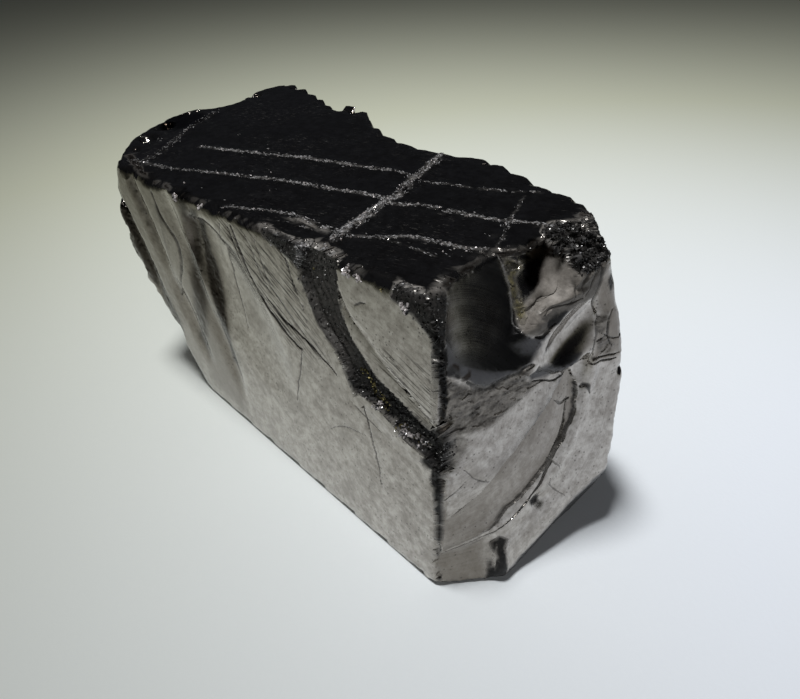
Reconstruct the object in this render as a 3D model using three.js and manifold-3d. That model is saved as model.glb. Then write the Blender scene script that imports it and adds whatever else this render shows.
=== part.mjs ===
// A hand-sized block of elite shungite, the glassy black carbon rock of Karelia.
//
// Millimetres, +Z up. The stone lies on its flat underside. While it is shaped, x = 0, y = 0 is the foot
// of the upright corner between the two bright faces: the long side face looks along -Y, the end face
// looks along +X, and the stone runs back along -X. At the end it is moved so that the origin is under
// the middle of its box.
//
// The stone is shaped as it broke: a prism on the plan outline is trimmed by flat breaks, the mineral
// veins that stand proud of the top and a toe at the foot of the end face are joined on, and then
// flakes, a crushed joint, grooves and chips are taken off.

import * as THREE from 'three';
import { mergeVertices } from 'three/addons/utils/BufferGeometryUtils.js';
import Module from 'manifold-3d';

const wasm = await Module();
wasm.setup();

// ---- driving dimensions ---------------------------------------------------------------------------

const CORNER_HEIGHT = 38;       // of the upright corner between the side face and the end face
const TOP_RISE = 0.15;          // the top climbs this much for each mm towards +Y
const END_TURN = 0.196;         // the end face goes out this much in x for each mm of y
const END_LEAN = 0.042;         // and comes back this much for each mm of height
const END_FOOT = 1.0;           // x of the end face at the foot of the upright corner
const END_TWIST = 0.0085;       // and it flares out below the middle, more and more towards +Y
const END_TWIST_TOP = 24.3;     // the flare starts at this height
const SIDE_LEAN_LENGTH = 50;    // the side face twists steadily over this length
const SIDE_LEAN_FOOT = 1.9;     // to stand back this far at the foot
const SIDE_LEAN_TOP = 2.0;      // and hang out this far at the top
const BLANK_HEIGHT = 50;        // prism before its top is broken off
const TOOL_REACH = 220;         // size of the boxes that make flat breaks

const COLOUR = 0x2b2a2b;        // near black, with a warm grey shine
const ROUGHNESS = 0.25;
const METALNESS = 0.85;

// ---- solids ---------------------------------------------------------------------------------------

const UP = new THREE.Vector3(0, 0, 1);
const { smoothstep } = THREE.MathUtils;

function vector(x, y, z) {
  return new THREE.Vector3(x, y, z);
}

/** A closed three.js geometry as a solid that can be joined and cut. */
function solid(geometry) {
  const bare = geometry.clone();
  bare.deleteAttribute('normal');
  bare.deleteAttribute('uv');
  const merged = mergeVertices(bare, 1e-4);
  const index = merged.index.array;
  const corners = [];
  for (let i = 0; i < index.length; i += 3) {
    const [a, b, c] = [index[i], index[i + 1], index[i + 2]];
    if (a !== b && b !== c && c !== a) corners.push(a, b, c);
  }
  return new wasm.Manifold(new wasm.Mesh({
    numProp: 3,
    vertProperties: new Float32Array(merged.attributes.position.array),
    triVerts: new Uint32Array(corners),
  }));
}

/** The solid as a three.js geometry again. */
function geometryOf(body) {
  const mesh = body.getMesh();
  const geometry = new THREE.BufferGeometry();
  geometry.setAttribute('position', new THREE.BufferAttribute(new Float32Array(mesh.vertProperties), 3));
  geometry.setIndex(new THREE.BufferAttribute(new Uint32Array(mesh.triVerts), 1));
  return geometry;
}

/** Matrix that puts a tool's +Z along the way out of a face and its +X along a direction on that face. */
function seat(point, outward, along) {
  const z = outward.clone().normalize();
  const x = along.clone().addScaledVector(z, -along.dot(z)).normalize();
  const y = z.clone().cross(x);
  return new THREE.Matrix4().makeBasis(x, y, z).setPosition(point);
}

/** Moves every vertex of a geometry by a rule that changes the point it is given. */
function bend(geometry, rule) {
  const spots = geometry.attributes.position;
  const spot = new THREE.Vector3();
  for (let i = 0; i < spots.count; i += 1) {
    rule(spot.fromBufferAttribute(spots, i));
    spots.setXYZ(i, spot.x, spot.y, spot.z);
  }
  return geometry;
}

/** Everything outside the plane through a point: the tool for one flat break. */
function beyond(point, outward) {
  const box = new THREE.BoxGeometry(TOOL_REACH, TOOL_REACH, TOOL_REACH);
  box.translate(0, 0, TOOL_REACH / 2);
  const along = Math.abs(outward.z) < 0.9 ? UP : vector(1, 0, 0);
  box.applyMatrix4(seat(point, outward, along));
  return solid(box);
}

/**
 * A flake: a shallow oval dish that is widest at the face it is struck from and opens outwards.
 * flat = 2 gives an even bowl, and more gives a flatter floor with steeper sides.
 */
function flake({ at, out, along, width, length, depth, flat = 2, rings = 6, around = 28, lift = 9 }) {
  const profile = [];
  for (let i = 0; i <= rings; i += 1) {
    const r = i / rings;
    profile.push(new THREE.Vector2(r, depth * (r ** flat - 1)));
  }
  profile.push(new THREE.Vector2(1.15, lift));
  profile.push(new THREE.Vector2(0, lift));
  const dish = new THREE.LatheGeometry(profile, around);
  dish.rotateX(Math.PI / 2);
  dish.scale(length / 2, width / 2, 1);
  dish.applyMatrix4(seat(at, out, along));
  return solid(dish);
}

/** A prism on an outline of [u, v] points, standing on a seat and reaching both ways from it. */
function prism(points, place, below, above, steps = 1) {
  const shape = new THREE.Shape(points.map(([u, v]) => new THREE.Vector2(u, v)));
  const bar = new THREE.ExtrudeGeometry(shape, { depth: below + above, steps, bevelEnabled: false });
  bar.translate(0, 0, -below);
  return bar.applyMatrix4(place);
}

/** A ridge that follows [u, v] points on a seat: as wide as width below, and half that at its crest. */
function ridge(points, place, width, below, above, steps) {
  const path = new THREE.CatmullRomCurve3(points.map(([u, v]) => vector(u, v, 0)));
  const section = new THREE.Shape([
    new THREE.Vector2(-above, -width / 4),
    new THREE.Vector2(-above, width / 4),
    new THREE.Vector2(below, width / 2),
    new THREE.Vector2(below, -width / 2),
  ]);
  const bar = new THREE.ExtrudeGeometry(section, { steps, extrudePath: path, bevelEnabled: false });
  bar.applyMatrix4(place);
  return solid(bar);
}

/** A lump or a pit: a ball stretched to three half sizes and turned onto a face. */
function ball({ at, out, along, half, around = 14, rings = 9 }) {
  const sphere = new THREE.SphereGeometry(1, around, rings);
  sphere.scale(...half);
  sphere.applyMatrix4(seat(at, out, along));
  return solid(sphere);
}

// ---- the blank: a prism on the plan outline, leaning as the faces lean ------------------------------

const END_OUTLINE = [
  [END_FOOT, 0], [2.1, 2.2], [3.4, 4.5], [4.36, 9], [5.25, 13.5], [6.13, 18], [7, 22.5], [7.75, 26.3],
];
const BACK_OUTLINE = [
  [4.6, 30], [-4, 32], [-18, 31.4], [-31, 30.3], [-41.5, 29.6], [-46.6, 30.6], [-48.6, 29], [-52.6, 30],
  [-57.1, 31.4], [-61.5, 32.8],
];
const FAR_OUTLINE = [
  [-64.6, 32.6], [-66.4, 29.5], [-66.8, 26], [-65.3, 21.8], [-67, 17.8],
  [-69.2, 15.5], [-69.4, 12], [-68.4, 8], [-66.4, 4.6], [-62.8, 0],
];
const SIDE_STEP = 7.5;          // spacing of the points along the side face
const BLANK_STEPS = 10;         // and of the layers up the blank
const SIDE_DEPTH = 8;           // the lean of the side face fades out this far into the stone
const END_DEPTH = 8;            // as does the lean of the end face
const FAR_START = [-60, -50];   // the far end's bulge fades in between these
const FAR_BULGE = 1.8;          // the far end stands out this much
const FAR_BULGE_AT = 26;        // at this height
const FAR_BULGE_SPREAD = 10;    // and over about this much above and below
const LOWER_DROP = 0.8;         // the end face is this much lower under its ledge
const LOWER_BAND = [20, 27];    // heights over which it drops

/** How far the side face stands back from y = 0. */
function sideLean(x, z) {
  const twist = THREE.MathUtils.clamp(-x / SIDE_LEAN_LENGTH, 0, 1.2);
  return twist * (SIDE_LEAN_FOOT - (SIDE_LEAN_FOOT + SIDE_LEAN_TOP) * (z / CORNER_HEIGHT));
}

/** How far the end face flares out beyond its plane. */
function endFlare(y, z) {
  return END_TWIST * Math.max(y, 0) * Math.max(END_TWIST_TOP - z, 0);
}

/** How far the end face is let down under its ledge, away from the upright corner. */
function lowerDrop(y, z) {
  return LOWER_DROP * (1 - smoothstep(z, ...LOWER_BAND)) * smoothstep(y, 0, 5);
}

function blank() {
  const points = [...END_OUTLINE, ...BACK_OUTLINE, ...FAR_OUTLINE];
  const [farX] = FAR_OUTLINE[FAR_OUTLINE.length - 1];
  for (let x = farX + SIDE_STEP; x < -SIDE_STEP / 2; x += SIDE_STEP) points.push([x, 0]);
  const block = prism(points, new THREE.Matrix4(), 0, BLANK_HEIGHT, BLANK_STEPS);
  return solid(bend(block, (spot) => {
    const { x, y, z } = spot;
    const endward = smoothstep(x, -END_DEPTH, 0);
    const farward = 1 - smoothstep(x, ...FAR_START);
    const sideward = 1 - smoothstep(y, 0, SIDE_DEPTH);
    const bulge = FAR_BULGE * Math.exp(-(((z - FAR_BULGE_AT) / FAR_BULGE_SPREAD) ** 2));
    spot.x += endward * (endFlare(y, z) - END_LEAN * z - lowerDrop(y, z)) - farward * sideward * bulge;
    spot.y += sideward * sideLean(x, z);
  }));
}

// ---- the flat breaks ------------------------------------------------------------------------------

/** Matrix from [x, z] outlines on the side face to the stone, with depth going out along -Y. */
const ON_SIDE = new THREE.Matrix4().makeBasis(vector(1, 0, 0), vector(0, 0, 1), vector(0, -1, 0));

/** The far end overhangs its foot: this [x, z] outline is broken away, more so towards the back. */
const FAR_BREAK = [
  [-64.9, 26], [-64.2, 18.5], [-60, 12.6], [-57.2, 10.2], [-57, 5.5], [-54.6, 1.6], [-53, -3], [-95, -3],
  [-95, 26],
];
const FAR_BREAK_TOP = 26;
const FAR_BREAK_SLANT = 0.24;   // at its top it stands back this much more for each mm of y

function farUndercut() {
  return solid(bend(prism(FAR_BREAK, ON_SIDE, 60, 10), (spot) => {
    spot.x -= FAR_BREAK_SLANT * spot.y * (spot.z / FAR_BREAK_TOP);
  }));
}

const TOP_OUT = vector(0, -TOP_RISE, 1);
const TOP_POINT = vector(0, 0, CORNER_HEIGHT);

const FLAT_BREAKS = [
  [TOP_POINT, TOP_OUT],
  [vector(-13.8, 25.3, 41.8), vector(0.2, 0.93, 0.31)],           // upper back edge
  [vector(4.4, 18.8, 40.8), vector(0.56, 0.74, 0.31)],            // and where it turns to the end face
  [vector(9, 21.7, 6.5), vector(0.606, 0.792, -0.078)],           // between the end and the back
  [vector(-59.1, -2.35, 38.1), vector(-0.61, -0.743, 0.274)],     // far top corner
];

function trim(body) {
  const flat = FLAT_BREAKS.reduce((stone, [point, out]) => stone.subtract(beyond(point, out)), body);
  return flat.subtract(farUndercut());
}

// ---- the toe at the foot of the end face ------------------------------------------------------------

const TOE_OUTLINE = [[0.9, 0.1], [6.9, 7.2], [9, 14], [9, 20], [-2, 20], [-4, 8]];
const TOE_HEIGHT = 18;
const TOE_POINT = vector(6.7, 7.4, 0);
const TOE_OUT = vector(0.926, -0.269, 0.264);         // the way its face above the end looks
const TOE_CORNER = vector(1, 0.2, 0);
const TOE_CORNER_OUT = vector(0.762, -0.61, 0.22);    // and its face towards the upright corner
const UNDERCUT_POINT = vector(6.4, 8.4, 2);
const UNDERCUT_OUT = vector(0.933, 0.059, -0.355);

function toe() {
  return solid(prism(TOE_OUTLINE, new THREE.Matrix4(), 0, TOE_HEIGHT))
    .subtract(beyond(TOE_CORNER, TOE_CORNER_OUT))
    .subtract(beyond(TOE_POINT, TOE_OUT));
}

/** The right-hand foot of the end face is broken away below, so its edge rises off the ground. */
function undercut() {
  return beyond(UNDERCUT_POINT, UNDERCUT_OUT);
}

// ---- the end face: one big shell-like flake with a ledge over it, and a dark hollow above -----------

const END_OUT = vector(1, -END_TURN, END_LEAN);
const SHELL_CENTRE = [1.45, 24.3];      // y, z of the middle of the rings
const SHELL_RADIUS = 18.6;              // of the step above the toe
const SHELL_RIDGE = 11;                 // height of the inner ring, which is wider than it is high
const SHELL_STRETCH = 0.38;
const SHELL_PROFILE = [                 // distance from the middle, and height over the face
  [0, -0.2], [4, -0.12], [8, 0.1], [10.4, 0.32], [SHELL_RIDGE, 0.36], [11.8, 0.22], [13.5, -0.06],
  [15.5, 0.04], [17.6, 0.46], [18, 0.56], [18.5, 1.5], [20.6, 7], [0, 9],
];
const LEDGE = [
  [-6, 32], [0.2, 31], [1.8, 30.3], [4.1, 28.6], [6.3, 27.6], [8.2, 27.3], [10.4, 26.6], [12.6, 26.7],
  [14.6, 25.4], [16.6, 25.5], [18.1, 26.1], [20.3, 27.1], [30, 27.8], [30, -4], [-6, -4],
];

/** Matrix from [y, z] outlines on the end face to the stone, with depth going out along +X. */
const ON_END = new THREE.Matrix4().makeBasis(vector(0, 1, 0), vector(0, 0, 1), vector(1, 0, 0));

function shellFlake() {
  const profile = SHELL_PROFILE.map(([r, h]) => new THREE.Vector2(r, h));
  const dish = new THREE.LatheGeometry(profile, 60).rotateX(Math.PI / 2);
  bend(dish, (spot) => {
    const r = Math.hypot(spot.x, spot.y);
    const inner = THREE.MathUtils.clamp((SHELL_RADIUS - r) / (SHELL_RADIUS - SHELL_RIDGE), 0, 1);
    spot.y *= 1 + SHELL_STRETCH * inner;
  });
  const [y, z] = SHELL_CENTRE;
  const middle = vector(END_FOOT + END_TURN * y - END_LEAN * z, y, z);
  dish.applyMatrix4(seat(middle, END_OUT, UP));
  bend(dish, (spot) => {
    spot.x += endFlare(spot.y, spot.z);
  });
  return solid(dish).intersect(solid(prism(LEDGE, ON_END, 20, 30)));
}

const HOLLOW = {
  at: vector(2.2, 7.2, 33), out: vector(0.889, -0.263, 0.375), along: vector(0.37, 0, -0.93),
  width: 14.5, length: 34, depth: 2.6, flat: 2.4, rings: 8, around: 40,
};

/** Small scars: beside the hollow, in the folded glass right of it, and at the upright corner. */
const END_FLAKES = [
  HOLLOW,
  { // second, small hollow beside the mineral band
    at: vector(1.9, 13.2, 37.4), out: vector(0.75, -0.42, 0.5), along: vector(0.3, 0.1, -1),
    width: 4.4, length: 8, depth: 1.5, rings: 4, around: 18,
  },
  { // leaf-shaped spoon
    at: vector(4.3, 15.3, 29.2), out: vector(0.93, -0.3, 0.2), along: vector(0.236, 0.654, 0.718),
    width: 5.6, length: 11.6, depth: 1.3, rings: 6, around: 26,
  },
  { // shallow bowl where the crushed joint reaches the corner
    at: vector(0.6, 1.2, 20.3), out: vector(1, -0.12, 0.05), along: vector(0, 0.1, 1),
    width: 4.4, length: 6, depth: 0.9, rings: 4, around: 20,
  },
];
const CRUST_POINT = vector(1.2, 20.9, 41.1);      // the crusted top edge is broken off here
const CRUST_OUT = vector(0.527, -0.2, 0.826);
const FOLD_OUT = vector(0.93, -0.35, -0.1);
const FOLDS = [                                   // lumps of folded glass that end in a round lobe
  { at: vector(2, 11.3, 30.6), along: vector(0.3, 0.6, -0.5), half: [1.9, 1.5, 0.7], around: 12, rings: 7 },
  { at: vector(2.7, 13, 33.2), along: vector(0.4, 0.75, 0.5), half: [2.9, 1.8, 0.6], around: 10, rings: 5 },
  { at: vector(3.8, 15.7, 35.3), along: vector(0.35, 0.7, 0.6), half: [3.2, 1.5, 0.6], around: 10, rings: 5 },
  { at: vector(4.5, 18, 36.9), along: vector(0.3, 0.8, 0.45), half: [2.2, 1.2, 0.5], around: 8, rings: 5 },
];
const PLUG_OUT = vector(0.8, -0.5, 0.2);
const PLUG = { at: vector(5.2, 6.6, 3.1), along: UP, half: [2.9, 1.15, 1.1], around: 9, rings: 6 };
const END_PITS = [
  { at: vector(5.6, 12.2, 9), along: UP, half: [1, 0.8, 0.9] },
  { at: vector(0.2, 0.2, 18.4), along: UP, half: [1.9, 1.3, 1.2] },
  { at: vector(5.6, 19.4, 33), along: vector(0, 1, 0.1), half: [1.6, 0.5, 0.7] },
  { at: vector(6.2, 21.6, 27.2), along: vector(0, 1, 0.2), half: [2, 0.5, 0.8] },
];

function dressEnd(body) {
  let end = body.subtract(shellFlake());
  for (const scar of END_FLAKES) end = end.subtract(flake(scar));
  end = end.subtract(beyond(CRUST_POINT, CRUST_OUT));
  for (const fold of FOLDS) end = end.add(ball({ ...fold, out: FOLD_OUT }));
  end = end.add(ball({ ...PLUG, out: PLUG_OUT }));
  for (const pit of END_PITS) end = end.subtract(ball({ ...pit, out: END_OUT }));
  return end;
}

// ---- the side face: a crushed joint, a smooth cell and rough columns --------------------------------

const JOINT_LEFT = [
  [-19.3, 40], [-19.2, 35], [-18.9, 31.2], [-17.3, 28.1], [-14, 25.6], [-11.8, 22], [-7.8, 19.9],
  [-3.2, 18.5], [1.6, 17.4],
];
const JOINT_RIGHT = [
  [1.6, 22.4], [-0.2, 23], [-2.6, 24.3], [-5.2, 25.8], [-7.6, 27.5], [-10.1, 29.4], [-12.8, 31.5],
  [-14.6, 34.1], [-14.8, 36.6], [-14.4, 40],
];
const JOINT_DEPTH = 2;
const JOINT_SHALLOW = 0.65;             // part of the depth that is lost where it meets the top
const JOINT_SHALLOWS = [27, 36];        // between these heights
const JOINT_UNDERCUT = [0.62, 0.5];     // it runs in towards +X and +Z, under the lens-shaped face

function crushedJoint() {
  const [overX, overZ] = JOINT_UNDERCUT;
  const slot = prism([...JOINT_LEFT, ...JOINT_RIGHT], ON_SIDE, JOINT_DEPTH, 4);
  return solid(bend(slot, (spot) => {
    const depth = spot.y * (1 - JOINT_SHALLOW * smoothstep(spot.z, ...JOINT_SHALLOWS));
    spot.x += overX * depth;
    spot.y = depth;
    spot.z += overZ * depth;
  }));
}

const CELL = {                          // smooth rounded scar
  at: vector(-33.3, -0.25, 22), out: vector(-0.02, -1, -0.02), along: vector(0.6, 0, -0.8),
  width: 14, length: 31, depth: 1, flat: 2.6, rings: 6, around: 34,
};
const GROOVE_OUT = vector(0, -1, -0.08);
const COLUMN_GROOVES = [
  { at: vector(-44.6, -1.2, 24), along: vector(0.2, 0.08, -1), half: [17, 1.7, 1.3] },
  { at: vector(-41.4, -0.2, 14), along: vector(0.25, 0.08, -1), half: [11, 1.6, 1.2] },
  { at: vector(-54.6, -1.7, 29), along: vector(0.2, 0.08, -1), half: [11, 1.3, 1.4] },
  { at: vector(-50.6, -0.2, 14.5), along: vector(0.3, 0.08, -1), half: [10, 1.9, 1.4] },
  { at: vector(-60.5, -1.3, 23), along: vector(0.25, 0.08, -1), half: [13, 1.6, 1.6] },
];

function dressSide(body) {
  let side = body.subtract(crushedJoint()).subtract(flake(CELL));
  for (const groove of COLUMN_GROOVES) {
    side = side.subtract(ball({ ...groove, out: GROOVE_OUT, around: 16, rings: 8 }));
  }
  return side;
}

// ---- the top: mineral veins that stand a little proud of the black glass ----------------------------

const VEINS = [
  { width: 1.3, rise: 0.4, steps: 9,                      // the joint itself, right across the top
    points: [[-21.8, 24.2], [-19.9, 16.8], [-18.6, 13.1], [-18.4, 9.8], [-17.7, 4.7], [-17.1, 0.5]] },
  { width: 0.8, rise: 0.28, steps: 8,
    points: [[-53.8, 8.1], [-46.1, 10.6], [-37.8, 13.6], [-31.5, 15.2], [-22.9, 17.4], [-20, 16.8]] },
  { width: 0.8, rise: 0.28, steps: 10,
    points: [[-59, 0], [-51.7, 1.3], [-45.4, 3.7], [-38.6, 6.2], [-34.4, 7.8], [-28.4, 9.3], [-21.5, 11.2],
      [-18.6, 11.8]] },
  { width: 0.7, rise: 0.22, steps: 7,
    points: [[-35.1, -1.1], [-29.9, 1.5], [-26, 2.9], [-22.5, 3.1], [-17.6, 3.2]] },
  { width: 0.5, rise: 0.18, steps: 5,
    points: [[-19.8, 16.8], [-16.7, 17.8], [-11.9, 19.3], [-7.6, 20.9], [-5.6, 22.2]] },
  { width: 0.8, rise: 0.28, steps: 8,
    points: [[-18.4, 10.4], [-14.9, 12.6], [-10, 13.6], [-5.5, 14.8], [-2.7, 16.1], [0.1, 17.2]] },
  { width: 0.8, rise: 0.28, steps: 8,
    points: [[-17.5, 3.1], [-13.4, 5.1], [-11, 7], [-7.6, 7.8], [-3.5, 9.1], [-1.9, 10.1]] },
  { width: 0.9, rise: 0.25, steps: 8,                    // along the edge over the hollow
    points: [[-1.1, 0.4], [-2.1, 4.3], [-2.5, 7.4], [-2, 10.2], [-0.5, 12.4], [0.2, 15.6], [0.6, 20.4]] },
  { width: 1.4, rise: 0.25, steps: 5,                     // band near the far end
    points: [[-64.2, 17.4], [-62.1, 11.4], [-57.7, 4.6], [-56.6, -0.4]] },
];
const VEIN_ROOT = 0.6;                  // a vein goes this far down into the stone

function dressTop(body) {
  const onTop = seat(TOP_POINT, TOP_OUT, vector(1, 0, 0));
  let top = body;
  for (const vein of VEINS) {
    top = top.add(ridge(vein.points, onTop, vein.width, VEIN_ROOT, vein.rise, vein.steps));
  }
  return top;
}

// ---- the back, the far end and the underside: breaks of the same kind --------------------------------

const HIDDEN_FLAKES = [
  { // the large flake that bites into the top outline
    at: vector(-26, 30.6, 38), out: vector(0, 1, 0.3), along: vector(0, 0.1, -1),
    width: 32, length: 46, depth: 5.7, rings: 7, around: 28,
  },
  { // lower back, towards the end face
    at: vector(-9, 31.6, 15), out: vector(0.12, 1, 0.02), along: vector(1, 0, 0.25),
    width: 22, length: 30, depth: 1.9, rings: 6, around: 26,
  },
  { // lower back, towards the far end
    at: vector(-51, 32, 14), out: vector(-0.08, 1, -0.12), along: vector(1, 0, -0.3),
    width: 20, length: 28, depth: 2.0, rings: 6, around: 26,
  },
  { // far end
    at: vector(-67.6, 15, 27), out: vector(-1, -0.02, 0.1), along: vector(0, 0.3, 1),
    width: 20, length: 24, depth: 1.8, rings: 6, around: 26,
  },
  { // underside, back edge
    at: vector(-24, 33, -0.6), out: vector(0, 0.45, -0.9), along: vector(1, 0, 0),
    width: 13, length: 40, depth: 1.8, rings: 4, around: 26,
  },
];

function dressHidden(body) {
  return HIDDEN_FLAKES.reduce((stone, scar) => stone.subtract(flake(scar)), body);
}

// ---- small chips along the sharp edges --------------------------------------------------------------

/** A row of numbers between 0 and 1 that is the same every time. */
function dice(seed) {
  let state = seed;
  return () => {
    state = (state * 1664525 + 1013904223) % 4294967296;
    return state / 4294967296;
  };
}

const CHIPPED_EDGES = [
  { count: 13, size: [0.9, 1.9], line: [[-62, 2, 38.3], [-66, 8, 39.4], [-67.5, 16, 40.4], [-65, 28, 42]] },
  { count: 12, size: [0.9, 2.2],
    line: [[-65, 32.4, 42.8], [-57, 31.4, 42.6], [-49, 29, 42.3], [-43, 29.2, 42.3]] },
  { count: 9, size: [0.5, 1.3], line: [[-38, 27.3, 42], [-28, 24.3, 41.7], [-18, 25.2, 41.8]] },
  { count: 10, size: [0.5, 1.2],
    line: [[-16, 25.5, 41.8], [-6, 23.8, 41.5], [0, 22.4, 41.3], [4.4, 19, 40.5]] },
  { count: 11, size: [0.6, 1.3], line: [[-57, -2.1, 37.7], [-40, -1.6, 37.8], [-20, -0.8, 37.9]] },
  { count: 8, size: [0.4, 0.8], line: [[-13, -0.4, 38], [-1, -0.1, 38]] },
  { count: 9, size: [0.5, 1.1], line: [[5.3, 19.6, 39], [6.6, 25, 21.4], [9, 21.8, 7]] },
  { count: 9, size: [0.7, 1.7], line: [[-62.5, -1, 33], [-64.6, -0.2, 26], [-64, 0.4, 19], [-57, 1, 9]] },
];

function chips() {
  const tools = [];
  CHIPPED_EDGES.forEach(({ count, size: [least, most], line }, edge) => {
    const roll = dice(edge * 97 + 11);
    const path = new THREE.CatmullRomCurve3(line.map(([x, y, z]) => vector(x, y, z)));
    for (let i = 0; i < count; i += 1) {
      const at = path.getPointAt((i + roll()) / count);
      const size = least + (most - least) * roll() ** 2;
      const out = vector(roll() - 0.5, roll() - 0.5, roll() - 0.5);
      const along = vector(roll() - 0.5, roll() - 0.5, roll() + 0.1);
      const half = [size * (1 + roll()), size, size * (0.5 + 0.5 * roll())];
      const pick = new THREE.IcosahedronGeometry(1, 0);
      pick.scale(...half);
      pick.applyMatrix4(seat(at, out, along));
      tools.push(solid(pick));
    }
  });
  return wasm.Manifold.union(tools);
}

// ---- the stone in one piece -------------------------------------------------------------------------

function shungite() {
  const rough = dressTop(trim(blank())).add(toe()).subtract(undercut());
  const broken = dressSide(dressEnd(dressHidden(rough)));
  return geometryOf(broken.subtract(chips()));
}

const geometry = shungite();
geometry.computeBoundingBox();
const { min, max } = geometry.boundingBox;
geometry.translate(-(min.x + max.x) / 2, -(min.y + max.y) / 2, -min.z);
geometry.computeVertexNormals();

const stone = new THREE.Mesh(
  geometry,
  new THREE.MeshStandardMaterial({ color: COLOUR, roughness: ROUGHNESS, metalness: METALNESS }),
);
stone.name = 'shungite';

const part = new THREE.Group();
part.add(stone);

export default part;
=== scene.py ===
import math

import bpy
import numpy as np
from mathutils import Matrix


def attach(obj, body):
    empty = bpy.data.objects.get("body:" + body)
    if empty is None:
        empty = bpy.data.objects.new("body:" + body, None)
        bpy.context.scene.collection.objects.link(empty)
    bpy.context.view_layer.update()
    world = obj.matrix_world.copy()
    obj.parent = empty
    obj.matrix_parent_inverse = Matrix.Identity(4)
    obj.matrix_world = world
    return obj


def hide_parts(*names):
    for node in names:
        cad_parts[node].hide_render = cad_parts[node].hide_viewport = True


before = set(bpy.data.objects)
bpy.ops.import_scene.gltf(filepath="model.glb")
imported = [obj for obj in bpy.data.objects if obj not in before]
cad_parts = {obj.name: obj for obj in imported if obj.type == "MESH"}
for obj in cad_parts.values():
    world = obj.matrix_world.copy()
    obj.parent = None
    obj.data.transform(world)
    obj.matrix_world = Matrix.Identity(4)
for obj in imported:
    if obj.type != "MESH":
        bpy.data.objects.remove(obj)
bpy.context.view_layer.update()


def in_scene(name, data):
    """A new object in the scene that shows the data."""
    made = bpy.data.objects.new(name, data)
    bpy.context.scene.collection.objects.link(made)
    return made


# ---- The camera -----------------------------------------------------------------------------------
# A hand-held close-up from above the upright corner between the stone's two bright faces.

camera_data = bpy.data.cameras.new("camera")
camera_data.sensor_width = 36
camera_data.sensor_fit = "HORIZONTAL"
camera_data.lens = 29.25
camera_data.clip_start = 0.005
camera = in_scene("camera", camera_data)
camera.location = (0.06259, -0.05286, 0.06624)
camera.rotation_euler = (math.radians(90 - 33.5), 0, math.radians(45))
bpy.context.scene.camera = camera


# ---- The stone --------------------------------------------------------------------------------------
# One block of elite shungite, a glassy black carbon rock. Flat and shell-like breaks shine like dark
# metal. Between them lie crushed joints, crumbled edges and rough ground, which swallow the light.
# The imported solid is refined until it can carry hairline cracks, ripples and grit in its own mesh.

CORNER = np.array([30.4435, -15.2615, 0])   # mm; foot of the upright near corner; places count from it
GRAIN = 0.24                                # mm between points of the refined stone
MOST_TRIANGLES = 194000
STRUCK = (1.45, 24.3)                       # y, z on the end face, where the shell-like break starts
CORNER_HEIGHT = 38                          # mm; the top's height over the near corner
TOP_RISE = 0.15                             # the top climbs this much per mm towards the back


def random_heights(cells, seed):
    """A steady random number from -1 to 1 for each whole-numbered cell. Large primes mix its numbers."""
    mixed = cells[..., 0] * 73856093 ^ cells[..., 1] * 19349663 ^ cells[..., 2] * 83492791
    mixed ^= seed * 2654435761
    mixed = (mixed ^ mixed >> 13) * 1274126177 & 0xFFFFFFFF
    mixed = (mixed ^ mixed >> 16) * 2246822519 & 0xFFFFFFFF
    return (mixed >> 8 & 0xFFFF) / 32767.5 - 1


def waves(points, size, seed, rounds=1):
    """Smooth random swells from about -1 to 1, size mm across; each round is half as wide and high."""
    total = np.zeros(len(points))
    for turn in range(rounds):
        spot = points * (2**turn / size) + seed * 7.31
        cell = np.floor(spot).astype(np.int64)
        part = spot - cell
        part = part * part * (3 - 2 * part)
        for corner in range(8):
            step = np.array([corner & 1, corner >> 1 & 1, corner >> 2 & 1])
            weight = np.prod(np.where(step, part, 1 - part), axis=1)
            total += weight * random_heights(cell + step, seed + turn) / 2**turn
    return total


def chips(points, size, seed):
    """Random flat chips of stone, size mm across: each has its own height and tilt, from about -1 to 1."""
    spot = points / size
    cell = np.floor(spot).astype(np.int64)
    nearest = np.full(len(points), np.inf)
    height = np.zeros(len(points))
    for turn in range(27):
        step = np.array([turn % 3 - 1, turn // 3 % 3 - 1, turn // 9 - 1])
        here = cell + step
        middle = here + 0.5 + 0.45 * np.stack([random_heights(here, seed + k) for k in range(3)], 1)
        off = spot - middle
        distance = (off**2).sum(1)
        tilt = np.stack([random_heights(here, seed + k) for k in range(3, 6)], 1)
        flat = 0.6 * random_heights(here, seed + 6) + 0.9 * (tilt * off).sum(1)
        closer = distance < nearest
        nearest[closer] = distance[closer]
        height[closer] = flat[closer]
    return height


def soft(value, low, high):
    """0 up to low, 1 from high on, and an even curve between; low may be the larger."""
    t = np.clip((value - low) / (high - low), 0, 1)
    return t * t * (3 - 2 * t)


def curved(line, steps=4):
    """A smooth line through the given points."""
    line = np.asarray(line, float)
    ends = np.vstack([2 * line[0] - line[1], line, 2 * line[-1] - line[-2]])
    made = []
    for a, b, c, d in zip(ends, ends[1:], ends[2:], ends[3:]):
        for t in np.linspace(0, 1, steps, endpoint=False):
            made.append(0.5 * (2 * b + (c - a) * t + (2 * a - 5 * b + 4 * c - d) * t**2
                               + (3 * b - a - 3 * c + d) * t**3))
    return np.array(made + [line[-1]])


def reach(line, spots):
    """How far spots are from a line, and how far along the line the nearest place is."""
    line = np.asarray(line, float)
    best = np.full(len(spots), np.inf)
    place = np.zeros(len(spots))
    start = 0.0
    for a, b in zip(line[:-1], line[1:]):
        step = b - a
        length = np.linalg.norm(step)
        t = np.clip((spots - a) @ step / length**2, 0, 1)
        away = ((spots - a - t[:, None] * step) ** 2).sum(1)
        nearer = away < best
        best[nearer] = away[nearer]
        place[nearer] = start + t[nearer] * length
        start += length
    return np.sqrt(best), place / start


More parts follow.
